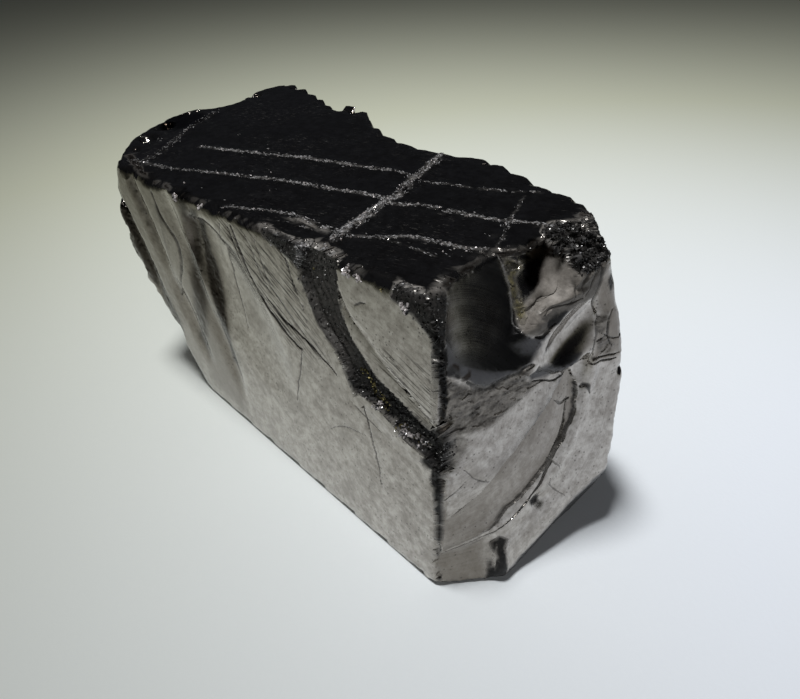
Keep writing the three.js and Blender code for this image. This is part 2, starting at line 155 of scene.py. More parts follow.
def within(outline, spots):
    """How deep flat spots lie inside an outline; negative outside it."""
    ring = np.vstack([outline, outline[:1]]).astype(float)
    inside = np.zeros(len(spots), bool)
    for (ax, ay), (bx, by) in zip(ring[:-1], ring[1:]):
        crosses = (spots[:, 1] > ay) != (spots[:, 1] > by)
        slope = (bx - ax) / (by - ay) if by != ay else 0.0
        inside ^= crosses & (spots[:, 0] < ax + slope * (spots[:, 1] - ay))
    away, _ = reach(ring, spots)
    return np.where(inside, away, -away)


# Places on the side face are in x, z; on the end face in y, z; on the top in x, y; all in mm.
# A patch has what it shows, how strongly, how soft its edge is, how high its grit stands, and its outline.

JOINT_LEFT = [
    (-19.6, 38), (-19.8, 35.7), (-20, 34.3), (-19, 31.9), (-17.6, 29), (-14.9, 26.6), (-13.1, 24.2),
    (-12, 22.3), (-10.6, 22.6), (-8.8, 22.1), (-6.8, 21.2), (-3.9, 19.7), (-1.8, 19.3), (-0.8, 18.6),
    (0.6, 17.4),
]
JOINT_RIGHT = [
    (-14.1, 38), (-14.1, 36.9), (-14.4, 33.1), (-13.6, 31.1), (-12.3, 29.1), (-10.5, 27.5), (-8.8, 26),
    (-5.7, 24.9), (-2.4, 23.5), (0.2, 22.9), (0.6, 22.5),
]
SIDE_PATCHES = [
    ("stain_and_shade", 0.55, 1.5, 0, [(-64, 38), (-50, 38), (-47, 30), (-46, 20), (-48, 8), (-56, 2), (-64, 10)]),
    ("stain_and_shade", 0.7, 0.8, 0.02, [(-68, 38), (-56.7, 38), (-55.9, 34.4), (-56.5, 29.8), (-56, 25.2),
        (-54.4, 21.6), (-52.8, 17.9), (-52.2, 14.6), (-57, 8), (-68, 16)]),
    ("umber", 0.8, 0.9, 0.03, [(-66, 34), (-61.5, 34), (-60.5, 29), (-60.5, 25), (-58.6, 21), (-60, 17),
        (-66, 20)]),
    ("umber", 0.9, 0.8, 0.03, [(-60.1, 21), (-57.6, 18), (-55.6, 13), (-56.3, 9), (-59.2, 13.6)]),
    ("umber", 0.7, 0.5, 0, [(-51.2, 34), (-50.2, 34), (-49.8, 31), (-50.6, 30)]),
    ("umber", 0.8, 0.9, 0.03, [(-43.6, 38.5), (-44, 32), (-46, 26), (-47.8, 20), (-51, 12), (-49, 9),
        (-46.3, 15), (-44.2, 21), (-43, 27), (-42, 32), (-41.4, 38.5)]),
    ("umber", 0.95, 0.45, 0.03, [(-41.6, 36), (-42.4, 30), (-42.6, 27), (-42, 22), (-41.5, 18), (-41, 12),
        (-39.3, 12), (-39.5, 18.3), (-39.6, 22.6), (-39.8, 27), (-40.6, 30), (-40.6, 33), (-39.4, 36.5)]),
    ("stain_and_shade", 0.7, 1.2, 0, [(-44.6, 38), (-46, 30), (-49, 20), (-51, 3), (-40, 2), (-39, 14), (-39, 24),
        (-39.4, 38)]),
    ("stain_and_shade", 0.35, 1.2, 0, [(-33.6, 30), (-31, 26), (-27, 22.6), (-30, 20), (-35, 22)]),
    ("brown", 0.5, 0.35, 0.06, [(-29.5, 29.4), (-27.6, 27.6), (-26.9, 26.7), (-27.8, 26.8),
        (-29.3, 28.3)]),
    ("dark", 0.92, 0.25, 0.1, [(-28, 38.6), (-25.7, 36.9), (-22.5, 35.9), (-20.5, 35), (-19.3, 34.1),
        (-18.6, 38.6)]),
    ("dark", 0.95, 0.25, 0.1, [(-6.4, 38.6), (-6.4, 36.5), (-3.6, 35.7), (-1.8, 34.5), (-0.8, 33.2),
        (-0.2, 31.4), (1, 31), (1, 38.6)]),
]
END_PATCHES = [
    ("dark", 0.95, 0.25, 0.1, [(-0.5, 38.6), (3.3, 38.6), (2.9, 36.7), (2, 35.3), (1, 33.9), (0.4, 32.2),
        (0.2, 30.9), (-0.5, 30.9)]),
    # Painted shade over the hollow under the top corner.
    ("shade", 0.94, 0.25, 0, [(0.4, 31), (1.9, 30), (4.3, 27.6), (5.9, 26.8), (7.6, 26.8), (9.2, 27.6),
        (10.8, 28.2), (11.9, 29.6), (13, 31.2), (12.2, 31), (11, 31), (10.4, 31.4), (10.2, 34),
        (10.2, 37), (9.8, 39.3), (6, 38.6), (3.5, 38), (2.9, 36.7), (2, 35.3), (1, 33.9), (0.4, 32.2)]),
    ("brown", 0.8, 0.45, 0.1, [(0.3, 30.3), (1.5, 29.3), (2.8, 28.2), (4.4, 27.2), (6.1, 26.5),
        (7.4, 26.7), (9.5, 28), (10.6, 27.2), (11.4, 25.3), (13.4, 24.6), (11.4, 23.6), (8.8, 22.4),
        (6.6, 21.5), (4, 21.7), (2.4, 21.9), (0.5, 22.8)]),
    ("brown", 0.6, 0.3, 0.02, [(0.2, 21.6), (1.2, 22.2), (2.5, 22.4), (3.4, 21.6), (3.9, 20.5),
        (3.7, 19.6), (2.1, 18), (0.8, 17.2), (0.2, 17.6)]),
    # Painted shade in the flake scar below the hollow: dark in its lower pocket, brownish in its middle.
    ("shade", 0.93, 0.35, 0, [(10.9, 27.1), (13.7, 27), (15.2, 27.4), (16.4, 27.6), (17.5, 27.3),
        (16.8, 25.7), (14.8, 25.5), (13.9, 24.9), (11.9, 25.1), (11, 26)]),
    ("stain_and_shade", 0.75, 0.5, 0, [(13.4, 27), (14.7, 28), (15.8, 28.9), (16.9, 29.9), (18.1, 31.1),
        (19.1, 30.7), (18.9, 29.2), (18.6, 27.8), (17.2, 26.9)]),
    # Painted shade on the smooth upright facet on the right.
    ("stain_and_shade", 0.8, 0.5, 0, [(19.1, 38.6), (17.9, 38), (18.5, 35.6), (18.8, 33.4), (19.4, 31.4),
        (19.4, 28), (19.2, 25.2), (26, 24.2), (26, 40)]),
    ("brown", 0.7, 0.2, 0.08, [(19.1, 31.2), (20.4, 31.5), (20.8, 30.2), (20, 29), (19.2, 29)]),
    ("brown", 0.6, 0.2, 0.08, [(19.2, 28.2), (20.6, 28.6), (22, 27), (21.8, 25.9), (20, 26.2)]),
    ("dark", 0.85, 0.15, 0.05, [(19.6, 35.5), (20.3, 35.8), (20.8, 34.6), (20.3, 33.8), (19.9, 34.6)]),
    ("matt", 1.0, 0.25, 0, [(10.4, 31.5), (11.3, 31.1), (12.6, 31.3), (13.8, 32.1), (14.9, 33.2),
        (18, 33.6), (18.6, 35.5), (18.2, 38), (16, 38.5), (14.4, 38.2), (13.6, 36.6), (12.5, 35.4),
        (11.6, 34.4), (10.5, 33.4)]),
    ("stain_and_shade", 0.8, 0.4, 0, [(14.4, 33.4), (16.9, 33.8), (18.4, 35), (18.2, 37.6), (16.4, 37), (15, 36)]),
    ("dark", 0.97, 0.12, 0, [(12.3, 32.5), (13.1, 33.2), (14.4, 33.5), (14.8, 33.1), (13.7, 32.1),
        (12.9, 31.5), (12.6, 31.9)]),
    # Painted shade: the black second hollow above the fold.
    ("umber", 1.0, 0.4, 0, [(12.1, 35.2), (11.7, 36.2), (12, 38.9), (14, 39.3), (14.9, 38.6),
        (14.5, 37.6), (13.6, 36.6), (13, 35.9)]),
    ("dark", 0.96, 0.4, 0.2, [(14.5, 41.5), (14.7, 38.6), (15.9, 38.4), (18.7, 38.7), (20.6, 38.2),
        (22, 39.6), (21, 41.8), (19, 42)]),
    ("gold", 0.85, 0.3, 0.12, [(10.4, 38.9), (11.2, 38.4), (11.8, 37.8), (11, 36.8), (11, 35.4),
        (11.2, 34.4), (11.3, 33.4), (10.7, 32.3), (10.4, 33.6), (10.3, 35.1), (10.2, 36.8)]),
    ("dark", 0.97, 0.18, 0.02, [(6, 5.4), (6.9, 6.1), (7.7, 5.4), (6.9, 4.8), (6.6, 3.2), (6.9, 0),
        (4.7, 0), (5.3, 2.6), (5.8, 4)]),
    ("dark", 0.9, 0.2, 0.06, [(11.2, 9.3), (12.2, 9.6), (12.8, 9), (12.6, 8.2), (11.6, 8.2)]),
    # Painted shade on the undercut below the foot's lower edge.
    ("shade", 0.85, 0.3, 0.03, [(6.9, 1.1), (8.4, 1.8), (11.5, 2.9), (14.7, 4.3), (17.2, 6), (19, 7.2),
        (20.5, 8.6), (21.8, 9.3), (26, 9), (26, -1), (6.9, -1)]),
    ("stain_and_shade", 0.75, 0.8, 0, [(0, 6), (2.4, 5.4), (5.4, 6), (5.2, 2.4), (5.2, -1), (0, -1)]),
    ("stain_and_shade", 0.6, 1.2, 0, [(2.5, 12.1), (0.3, 10.8), (0.3, 6.4), (4.3, 7.6), (6.5, 8.6), (8, 10.5),
        (5.8, 13)]),
]

# A swell on the end face stands out of it: its middle in y, z, its half widths, its turn and its height.

SWELLS = [
    (11.3, 32.3, 1.2, 1.0, 0.4, 0.4), (13.8, 35.2, 1.4, 1.1, 0.6, 0.5), (11.6, 34, 0.9, 0.22, 0.75, 0.22),
    (12.3, 33.7, 0.9, 0.2, 0.75, 0.22), (15.7, 36.9, 1.6, 0.35, 0.9, 0.3),
    (16.8, 37, 1.6, 0.3, 0.9, 0.25), (15.4, 35, 1.7, 0.5, 0.1, 0.3),
]

# A blot is a round patch in x, y, z: its middle, its radius, what it shows and how strongly.

BLOTS = [
    # The umber blots on the end face below paint shade: a black ledge at the foot of the hollow and the
    # black second hollow above the fold.
    (-1.2, 0.6, 18.8, 0.95, "dark", 0.97), (0.4, 1.5, 30.5, 0.8, "umber", 1),
    (0.6, 3.2, 29, 0.6, "umber", 1), (0.2, 13.4, 39.1, 1.3, "umber", 1),
    (1.4, 14.9, 38.6, 1.1, "umber", 1), (0.8, 13.6, 37.4, 1.2, "umber", 1),
    (1.5, 14.6, 36.9, 1.1, "umber", 1), (0.6, 12.6, 36.4, 0.8, "umber", 1),
    (2, 11.3, 32.4, 1.3, "matt", 1), (2.6, 13.6, 34.6, 2.0, "matt", 1), (3.6, 15.6, 36, 2.2, "matt", 1),
    # The umber blot far out at x -66 paints shade over a dent and a glint on the top's far end.
    (4.4, 17.4, 36.8, 1.5, "matt", 1), (-66, 12.5, 39.5, 3.6, "umber", 1),
    (-19.6, -0.4, 37.5, 0.8, "vein", 0.8), (-19.9, -0.5, 36.5, 0.7, "vein", 0.7),
    (-20.3, -0.6, 35.6, 0.5, "vein", 0.6), (-18.6, 0.6, 35.6, 0.5, "pyrite", 0.7),
    (-18.3, 0.7, 34, 0.4, "pyrite", 0.6), (-12.8, -0.5, 37.2, 0.35, "crystal", 1),
    (-12.2, -0.5, 37, 0.3, "crystal", 1), (-10.7, -0.4, 37.1, 0.35, "crystal", 1),
    (-7.6, -0.3, 37.1, 0.25, "pyrite", 1), (-4.7, -0.2, 36.2, 0.4, "crystal", 1),
    (-2.4, 1.5, 38.2, 0.3, "pyrite", 1), (-44.4, -1.5, 36.9, 0.4, "crystal", 1),
    (-38.6, -1.5, 37, 0.35, "crystal", 1),
]

# A line has what it shows, how strongly, its half width, its depth and its points. A depth below 0
# stands up.

SIDE_LINES = [
    ("dark", 0.95, 0.2, 0.3, [(-32.3, 36.4), (-31.2, 32.5), (-30.5, 30.3), (-28.8, 27.8), (-26.4, 26),
        (-24.4, 24.6), (-21.7, 23.5)]),
    ("dark", 0.7, 0.1, 0.12, [(-33.2, 36.4), (-32, 32.6), (-30.9, 29.6), (-29, 27)]),
    ("dark", 0.7, 0.09, 0.1, [(-21.7, 23.5), (-22.8, 19.9), (-24.6, 14.1)]),
    ("dark", 0.8, 0.12, 0.2, [(-27.4, 28.4), (-24.2, 26.4), (-20.8, 25.5), (-18.5, 24.4), (-15.6, 23)]),
    ("dark", 0.5, 0.1, 0.08, [(-34.7, 36), (-36, 31.5), (-36.2, 28), (-35.7, 24.1), (-35, 20.4)]),
    ("dark", 0.6, 0.08, 0.06, [(-27.9, 36), (-27.2, 33.5), (-26.5, 31.1), (-24.5, 29), (-20.5, 25.9)]),
    ("dark", 0.6, 0.08, 0.06, [(-29.6, 36), (-29, 34.7), (-28.1, 32.2), (-26.5, 29.6)]),
    ("dark", 0.9, 0.13, 0.12, [(-22.3, 35.4), (-21.9, 33.8), (-21.5, 32.2), (-19.9, 30)]),
    ("dark", 0.85, 0.08, 0.14, [(-11.9, 22.3), (-10.9, 19.8), (-9.9, 16.2), (-9, 12.4), (-8.8, 9.7)]),
    ("dark", 0.5, 0.07, 0.05, [(-18, 13.2), (-15.7, 15.1), (-14.1, 15.8), (-10.9, 16.5)]),
    ("dark", 0.5, 0.07, 0.05, [(-13.4, 20.4), (-11.4, 19.6), (-8.4, 18.6)]),
    ("dark", 0.95, 0.12, 0.06, [(-11.6, 33.8), (-10.8, 34.2), (-10.1, 34.5)]),
    ("dark", 0.6, 0.07, 0.05, [(-16.6, 32.2), (-15.3, 29.6), (-12.9, 27.5)]),
    # A painted highlight: a bright sliver where the striated facet's edge catches the light.
    ("pale", 0.9, 0.12, -0.05, [(-26.7, 28.2), (-25.9, 27.5), (-24.3, 26.8)]),
    ("pale", 0.4, 0.3, -0.03, [(-51.1, 30.9), (-51.7, 25.2), (-52.9, 17.7)]),
    ("dark", 0.6, 0.3, 0.15, [(-50.6, 36), (-49.9, 32.4), (-47.6, 29.4), (-48.6, 25), (-52.6, 19)]),
]
END_LINES = [
    ("dark", 0.85, 0.13, 0.14, [(17.2, 20.9), (16.7, 18.2), (15.6, 15.6), (13.7, 12.7), (11.4, 9.9),
        (8.6, 8)]),
    ("dark", 0.4, 0.08, 0.06, [(8.6, 8), (6.4, 6.8), (4.1, 6.2), (0.6, 5.5)]),
    ("dark", 0.6, 0.08, 0.05, [(14, 14.3), (15.3, 12.7), (15.5, 12)]),
    ("dark", 0.5, 0.08, 0.05, [(14.1, 11.3), (14.6, 9.6), (16.2, 7.9)]),
    ("dark", 0.7, 0.1, 0.1, [(19.9, 29), (21.4, 28), (22.9, 27.5)]),
    ("dark", 0.9, 0.12, 0.16, [(19.4, 25), (21, 24.9), (23.2, 24.5)]),
    ("dark", 0.9, 0.1, 0.16, [(18.6, 25.4), (20, 25.7), (22, 25.4), (23.6, 25.1)]),
    ("dark", 0.8, 0.1, 0.1, [(19.1, 31.4), (19.2, 29.6), (19, 27.6), (19.2, 25.8)]),
    ("dark", 0.8, 0.1, 0.12, [(20.9, 31.6), (20.6, 30), (20.9, 28.3), (21.8, 26.8)]),
    ("dark", 0.8, 0.08, 0.1, [(16.8, 24.7), (15.4, 24.1), (13.4, 24.6), (11.8, 25)]),
    ("dark", 0.5, 0.07, 0.05, [(0.7, 14.2), (2.2, 15), (3.2, 15.6)]),
    ("dark", 0.6, 0.07, 0.06, [(3, 17.3), (4.9, 15.1), (6.2, 14.3)]),
    ("dark", 0.9, 0.22, 0.1, [(18.8, 22), (19.4, 22.1), (20, 20.8)]),
    ("dark", 0.7, 0.12, 0.08, [(15.2, 21.4), (16.4, 20.6), (17.6, 20.8)]),
    ("dark", 0.9, 0.16, 0.2, [(11.3, 31), (12.3, 31), (13.3, 32.2)]),
    ("dark", 0.8, 0.1, 0.16, [(12, 33.4), (12.8, 34.2), (14.9, 34.1), (16.6, 34.1)]),
    ("dark", 0.7, 0.08, 0.12, [(11.9, 33.9), (12.7, 34.9)]),
    ("dark", 0.7, 0.12, 0.16, [(14.8, 34.3), (15, 36.3), (15.8, 37.8)]),
    ("dark", 0.6, 0.1, 0.14, [(15.8, 34.6), (16, 36.4), (17, 38)]),
    ("dark", 0.7, 0.12, 0.14, [(16.9, 34.4), (17.4, 36.4), (18.2, 38)]),
    ("dark", 0.8, 0.2, 0.2, [(18, 37.9), (18.5, 35.6), (18.4, 33.6), (19, 31.8)]),
    ("pale", 0.85, 0.1, -0.05, [(9.8, 39.2), (10.2, 37.9), (10.3, 35.6), (10.2, 34.3), (10, 33.1),
        (10.2, 31.5)]),
    ("pale", 0.5, 0.12, -0.04, [(15.9, 30.3), (17, 31.3), (18, 32.4)]),
    # Painted shade: the black line under the overhanging ledge at the foot of the hollow, on a dark crumbled
    # edge.
    ("dark", 0.97, 0.45, 0.15, [(0.3, 31.4), (1.5, 30.2), (2.4, 29.4)]),
    ("dark", 0.97, 0.32, 0.15, [(3.4, 28.2), (4.4, 27.4), (6.1, 26.6), (7.9, 26.8), (9.7, 27.8),
        (10.8, 28)]),
]
TOP_VEINS = [  # line, half width, share of grains
    ([(-21.8, 24.0), (-19.9, 16.6), (-18.6, 13.0), (-18.4, 9.7), (-17.7, 4.6), (-17.1, 0.2)], 0.72, 1.0),
    ([(-53.8, 8), (-46.1, 10.5), (-37.8, 13.4), (-31.5, 15), (-22.9, 17.2), (-20, 16.6)], 0.42, 0.6),
    ([(-59, 0), (-51.7, 1.3), (-45.4, 3.7), (-38.6, 6.1), (-34.4, 7.7), (-28.4, 9.2), (-21.5, 11.1),
        (-18.6, 11.7)], 0.42, 0.6),
    ([(-39, -0.9), (-35.1, -0.6), (-29.9, 1.5), (-26, 2.9), (-22.5, 3.1), (-17.6, 3.2)], 0.3, 0.5),
    ([(-19.8, 16.6), (-16.7, 17.6), (-11.9, 19.1), (-7.6, 20.7), (-5.6, 22)], 0.28, 0.3),
    ([(-18.4, 10.3), (-14.9, 12.5), (-10, 13.4), (-5.5, 14.6), (-2.7, 15.9), (0.1, 17)], 0.36, 0.5),
    ([(-17.5, 3.1), (-13.4, 5), (-11, 6.9), (-7.6, 7.7), (-3.5, 9), (-1.9, 10)], 0.36, 0.55),
    ([(-13.4, 5), (-11.2, 5.4), (-8.6, 5.6), (-6.4, 5.8)], 0.16, 0.3),
    ([(-64.2, 17.2), (-62.1, 11.3), (-57.7, 4.5), (-56.6, -0.4)], 0.8, 0.22),
    ([(-6.7, 20.6), (-4.7, 15.3), (-3.2, 12.2), (-2.3, 9.9)], 0.14, 0.4),
    ([(-28, 0.4), (-24.6, 1.5), (-22.8, 1.9), (-21, 1.8)], 0.14, 0.3),
]
SEAM = [
    (-0.9, 0, 38.2), (-0.3, 0.2, 32.2), (-0.1, 0.5, 30), (0, 0.7, 27), (0, 0.6, 24), (-0.2, 0.3, 21),
    (-0.3, 0.3, 17.6), (0.1, 0, 15.8), (0.4, 0, 11.4), (0.7, 0.1, 6.7), (1, 0.2, 1.4), (1, 0.2, 0.2),
]
SEAM_HALF = [
    (0, 0.32), (3, 0.34), (12, 0.42), (14.5, 0.6), (16.5, 0.75), (17.8, 0.6), (20, 0.3), (24, 0.36),
    (28, 0.5), (30, 0.5), (32, 0.6), (38.5, 0.7),
]
FRONT_EDGE = [(-61, 0.8, 38.1), (-52, -1.6, 37.8), (-40, -1.5, 37.8), (-20, -0.8, 37.9), (-0.9, 0, 38)]
CREST = [
    (-2.8, -0.1, 38), (-2.3, 1.6, 38.2), (-2.7, 4, 38.1), (-2.8, 6.5, 38.5), (-2.5, 8.2, 39),
    (-2.2, 9.4, 39.5), (-1.3, 10.9, 39.2), (-0.4, 12, 39.3), (0.1, 14, 39.8), (0.5, 15.7, 40.3),
    (0.6, 17.5, 40.6), (0.7, 19.3, 41), (0.7, 21.1, 41.2),
]
CRUST = [(0.6, 16.4, 40.5), (3, 17.6, 39.9), (4.4, 18.6, 39.2), (4, 16.4, 38.6)]
PYRITE = [(-11.3, 25.3), (-10.5, 24.8), (-9.7, 24.1), (-8.7, 23.2), (-7.6, 22.6)]
TAN_GRAINS = [(-5.3, 21.2), (-3.7, 20.9), (-1.9, 20.5)]
CRYSTALS = [(-7.3, 20.5), (-6.1, 20.2), (-4.8, 19.8)]
SHARDS = [(-10.4, 22.3), (-9.6, 22), (-8.5, 21.9)]
RIDGE = [
    (16.8, 25), (16.1, 23.7), (14, 21.2), (12.6, 19.8), (10.8, 18.3), (8.5, 16.3), (6.2, 14.4),
    (4.5, 12.9), (0.9, 11),
]
STEP = [
    (18.3, 22.5), (18.2, 20.5), (17.6, 18.6), (16.2, 16.1), (15, 14.7), (13.7, 13.2), (12.1, 11.9),
    (10.5, 10.6), (8.2, 9.2), (6.5, 7.8), (4.3, 7), (0.6, 5.8),
]
HATCHED = [(-36, 37.5), (-34, 32), (-30, 28), (-23, 22.5), (-16.5, 25), (-20.5, 31), (-20.5, 37.5)]
HATCHED_LENS = [
    (-9.5, 28.5), (-8, 26.6), (-5, 24.8), (-2, 23.6), (0.4, 23), (0.4, 31), (-4, 31), (-8, 30.5),
]
PACKED_EDGE = [
    (-14.8, 40), (-14.8, 36.6), (-14.6, 34.1), (-12.8, 31.5), (-10.1, 29.4), (-7.6, 27.5), (-5.2, 25.8),
    (-2.6, 24.3), (-0.2, 23), (1.6, 22.4),
]


def settle(points, normals, lap):
    """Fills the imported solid's wide joint, in mm, up to the stone's own narrower and shallower one.

    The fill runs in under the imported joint's right edge by lap, in mm, so no gap is left there."""
    x, y, z = points.T
    made = points.copy()
    near = np.where((y < 3.2) & (x < 0.1) & (x > -24) & (z > 16) & (z < 37.8))[0]
    flat = points[near][:, [0, 2]]
    past_left = within(JOINT_LEFT + [(6, 17), (6, 40), (-19.6, 40)], flat)
    past_right = within(JOINT_RIGHT + [(6, 22.5), (6, 40), (-14.1, 40)], flat)
    past_packed = within(PACKED_EDGE + [(6, 22.4), (6, 40)], flat)
    face = np.where(past_right > -0.4, 0.02, 0.038) * x[near]
    level = face + 0.75 * soft(past_left, -0.05, 0.7) * soft(past_right, 0, -0.25)
    inside = (past_left > -0.05) & (past_right < 0.1)
    beside = (past_left > -1.8) & (past_packed < 0)
    brim = (past_packed >= -0.1) & (past_packed < 0.8) & (normals[near, 1] < -0.05) & (y[near] < 0.8)
    below = np.where(beside, level, level + 0.12)
    made[near, 1] = np.where(inside, level, np.where(beside | brim, np.minimum(y[near], below), y[near]))
    slide = np.where(~inside & beside & (past_right > 0), lap * soft(past_packed, -1.1, 0), 0)
    made[near] += slide[:, None] * np.array([0.585, 0, 0.81])
    made[near, 1] += 0.35 * slide**2        # the further in, the deeper, so it stays under the edge
    return made


def surface_of(points, normals):
    """What shows at each point, as shares from 0 to 1, and how far it moves, in mm, to give it relief."""
    x, y, z = points.T
    wobble = np.stack([waves(points, 1.1, seed, 2) for seed in (3, 5, 8)], 1)
    bent = points + 0.12 * wobble
    side, end, top = bent[:, [0, 2]], bent[:, [1, 2]], bent[:, :2]
    on_side = soft(y, 4.5, 3) * soft(-normals[:, 1], 0.2, 0.5)
    on_end = soft(x, -3.5, -2) * soft(normals[:, 0], 0.15, 0.45)
    on_top = soft(normals[:, 2], 0.85, 0.95) * soft(z, 36, 37.5)
    hidden = np.maximum(soft(y, 20, 26), soft(x, -60, -64)) * (1 - on_top)
    coarse, fine = chips(points, 0.95, 31), chips(points, 0.42, 41)
    grit = coarse + 0.7 * fine
    ledges = np.stack([0.45 * (0.95 * y + 0.3 * z), 1.3 * (0.95 * z - 0.3 * y), 0.8 * x], 1)
    terraces = 1.2 * chips(ledges, 0.9, 33) + 0.5 * fine
    ragged = 0.7 + 0.3 * waves(points, 0.7, 51)
    kinds = ("dark", "brown", "stain_and_shade", "umber", "shade", "matt", "pale", "gold", "vein", "spark", "pyrite",
             "crystal", "busy")
    share = {kind: np.zeros(len(points)) for kind in kinds}
    lift = 0.01 * waves(points, 5, 11, 2)

    def show(kind, amount, where=slice(None)):
        share[kind][where] = np.maximum(share[kind][where], amount)

    for patches, spots, mask in ((SIDE_PATCHES, side, on_side), (END_PATCHES, end, on_end)):
        near = np.where(mask > 0.01)[0]
        for kind, strength, edge, rough, outline in patches:
            inside = soft(within(outline, spots[near]), -edge, edge) * mask[near]
            show(kind, strength * inside, near)
            chipped = terraces if kind == "brown" else grit
            lift[near] += inside * rough * chipped[near]
            if kind == "dark" and rough > 0.08:
                show("spark", 0.35 * inside, near)
            if edge < 0.5:
                show("busy", inside, near)
    for lines, spots, mask in ((SIDE_LINES, side, on_side), (END_LINES, end, on_end)):
        near = np.where(mask > 0.01)[0]
        for kind, strength, half, depth, line in lines:
            away, place = reach(curved(line), spots[near])
            thin = half * (0.45 + 0.55 * soft(place, 0, 0.3) * soft(place, 1, 0.6))
            show(kind, strength * soft(away, 1.7 * thin, 0.5 * thin) * mask[near] * ragged[near], near)
            lift[near] -= depth * np.exp(-((away / thin) ** 2)) * mask[near]
            show("busy", (away < 2.5 * half + 0.1) * mask[near], near)

    # The hollow's painted shade is weaker in its middle than at its rim, so the middle is lighter and
    # shinier.
    middle = on_end * soft(np.hypot(y - 5.3, z - 33.8), 4.6, 2) * soft(waves(points, 2.4, 27), -0.9, 0.2)
    share["shade"] *= 1 - 0.45 * middle

    # The crushed joint: sooty grit, with a smooth band under the lip on its right and streaks high on
    # its left.
    mask = soft(y, 4.6, 3.8) * soft(x, 0.3, 0.1) * (1 - on_top)
    near = np.where(mask > 0.01)[0]
    outline = np.array(JOINT_LEFT + JOINT_RIGHT[::-1])
    inside = soft(within(outline, side[near]), -0.1, 0.12) * mask[near]
    left, along = reach(curved(JOINT_LEFT, 2), side[near])
    right, _ = reach(curved(JOINT_RIGHT, 2), side[near])
    lip = inside * soft(right, 1.0, 0.8) * soft(along, 0.3, 0.45) * soft(along, 0.97, 0.92)
    flow = inside * (1 - lip) * soft(along, 0.55, 0.4)
    show("dark", 0.97 * inside - 0.1 * lip - 0.12 * flow, near)
    bright = 0.2 + 0.6 * soft(along, 0.5, 0.65) + 0.6 * soft(along, 0.18, 0.08)
    show("spark", (inside - lip) * bright, near)
    show("busy", inside, near)
    lift[near] += (inside - lip - 0.7 * flow) * (0.16 * coarse + 0.11 * fine)[near] + 0.05 * lip
    streaks = np.sin(6 * left + 2.5 * waves(points[near], 2.5, 61))
    lift[near] += 0.07 * flow * streaks + 0.03 * flow * fine[near]
    for kind, line, wide, strength in (
            ("gold", PYRITE, 0.6, 1), ("pyrite", PYRITE, 0.55, 1), ("gold", TAN_GRAINS, 0.6, 0.7),
            ("pale", TAN_GRAINS, 0.5, 0.6), ("crystal", TAN_GRAINS, 0.55, 0.5),
            ("pale", CRYSTALS, 0.55, 0.9), ("crystal", CRYSTALS, 0.6, 1), ("crystal", SHARDS, 0.6, 0.5),
            ("pyrite", TAN_GRAINS, 0.55, 0.45)):
        band = soft(reach(curved(line), side[near])[0], wide, 0.7 * wide) * inside * ragged[near]
        show(kind, strength * band, near)
    for *middle, radius, kind, strength in BLOTS:
        away = np.linalg.norm(bent - middle, axis=1)
        show(kind, strength * soft(away, 1.15 * radius, 0.85 * radius))
        show("busy", soft(away, 1.4 * radius, 1.1 * radius))
    lift -= 0.3 * soft(np.linalg.norm(bent - BLOTS[0][:3], axis=1), 0.9, 0.2)

    # Worn and crumbled edges.
    away, _ = reach(SEAM, bent)
    half = np.interp(z, *zip(*SEAM_HALF))
    seam = soft(away, 1.15 * half + 0.06, 0.7 * half)
    show("dark", 0.96 * seam)
    show("busy", soft(away, 1.6 * half, 1.2 * half))
    lift += seam * (0.16 * fine - 0.1)
    for line, outer, inner, shows, coarse_grit, fine_grit, worn in (
            (FRONT_EDGE, 0.5 + 0.2 * wobble[:, 0], 0.25 + 0.15 * wobble[:, 0],
             {"umber": 1, "dark": 0.4, "spark": 0.2}, 0.03, 0.09, 0.04),
            (CREST, 0.38 + 0.16 * wobble[:, 1], 0.16 + 0.1 * wobble[:, 1],
             {"umber": 1, "brown": 0.2, "dark": 0.45, "spark": 0.12}, 0.03, 0.08, 0),
            (curved(CRUST), 2.0, 1.4, {"dark": 0.96, "spark": 1}, 0.2, 0.16, 0)):
        away, _ = reach(line, bent)
        edge = soft(away, outer, inner)
        for kind, strength in shows.items():
            show(kind, strength * edge)
        show("busy", edge)
        lift += edge * (coarse_grit * coarse + fine_grit * fine - worn)

    # The shell-like break on the end face: faint rings, a low inner ridge, and a band that flares to
    # the step. Its ridge carries a painted highlight, and its band and step painted shade.
    ring = np.hypot(y - STRUCK[0], z - STRUCK[1])
    lift += on_end * 0.008 * np.sin(ring * 3.1 + waves(points, 4, 21)) * soft(ring, 4, 9)
    near = np.where(on_end > 0.01)[0]
    to_ridge, place = reach(curved(RIDGE), end[near])
    to_step, along_step = reach(curved(STEP), end[near])
    past_ridge = within(RIDGE + [(0.9, 26), (14, 27)], end[near]) < 0
    past_step = within(STEP + [(0.6, 26), (17, 26)], end[near]) < 0
    ends = soft(place, 0, 0.06) * soft(place, 1, 0.8) * on_end[near]
    below = -0.16 * soft(to_ridge, 0, 0.22) * np.exp(-to_ridge / 2)
    lift[near] += ends * np.where(past_ridge, below, 0.12 * np.exp(-to_ridge / 1.2))
    # A painted highlight along the ridge's top, fading upwards.
    show("pale", 0.9 * soft(to_ridge, 0.17, 0.06) * soft(place, 0.7, 0.3) * ends, near)
    show("pale", 0.3 * ~past_ridge * np.exp(-to_ridge / 0.8) * soft(place, 0.8, 0.4) * ends, near)
    # Painted shade in the band below the ridge, darkest at the step and just under the ridge.
    band = on_end[near] * past_ridge * ~past_step
    show("stain_and_shade", band * (0.5 * np.exp(-to_step / 0.9) + 0.35 + 0.45 * np.exp(-to_ridge / 1.1)), near)
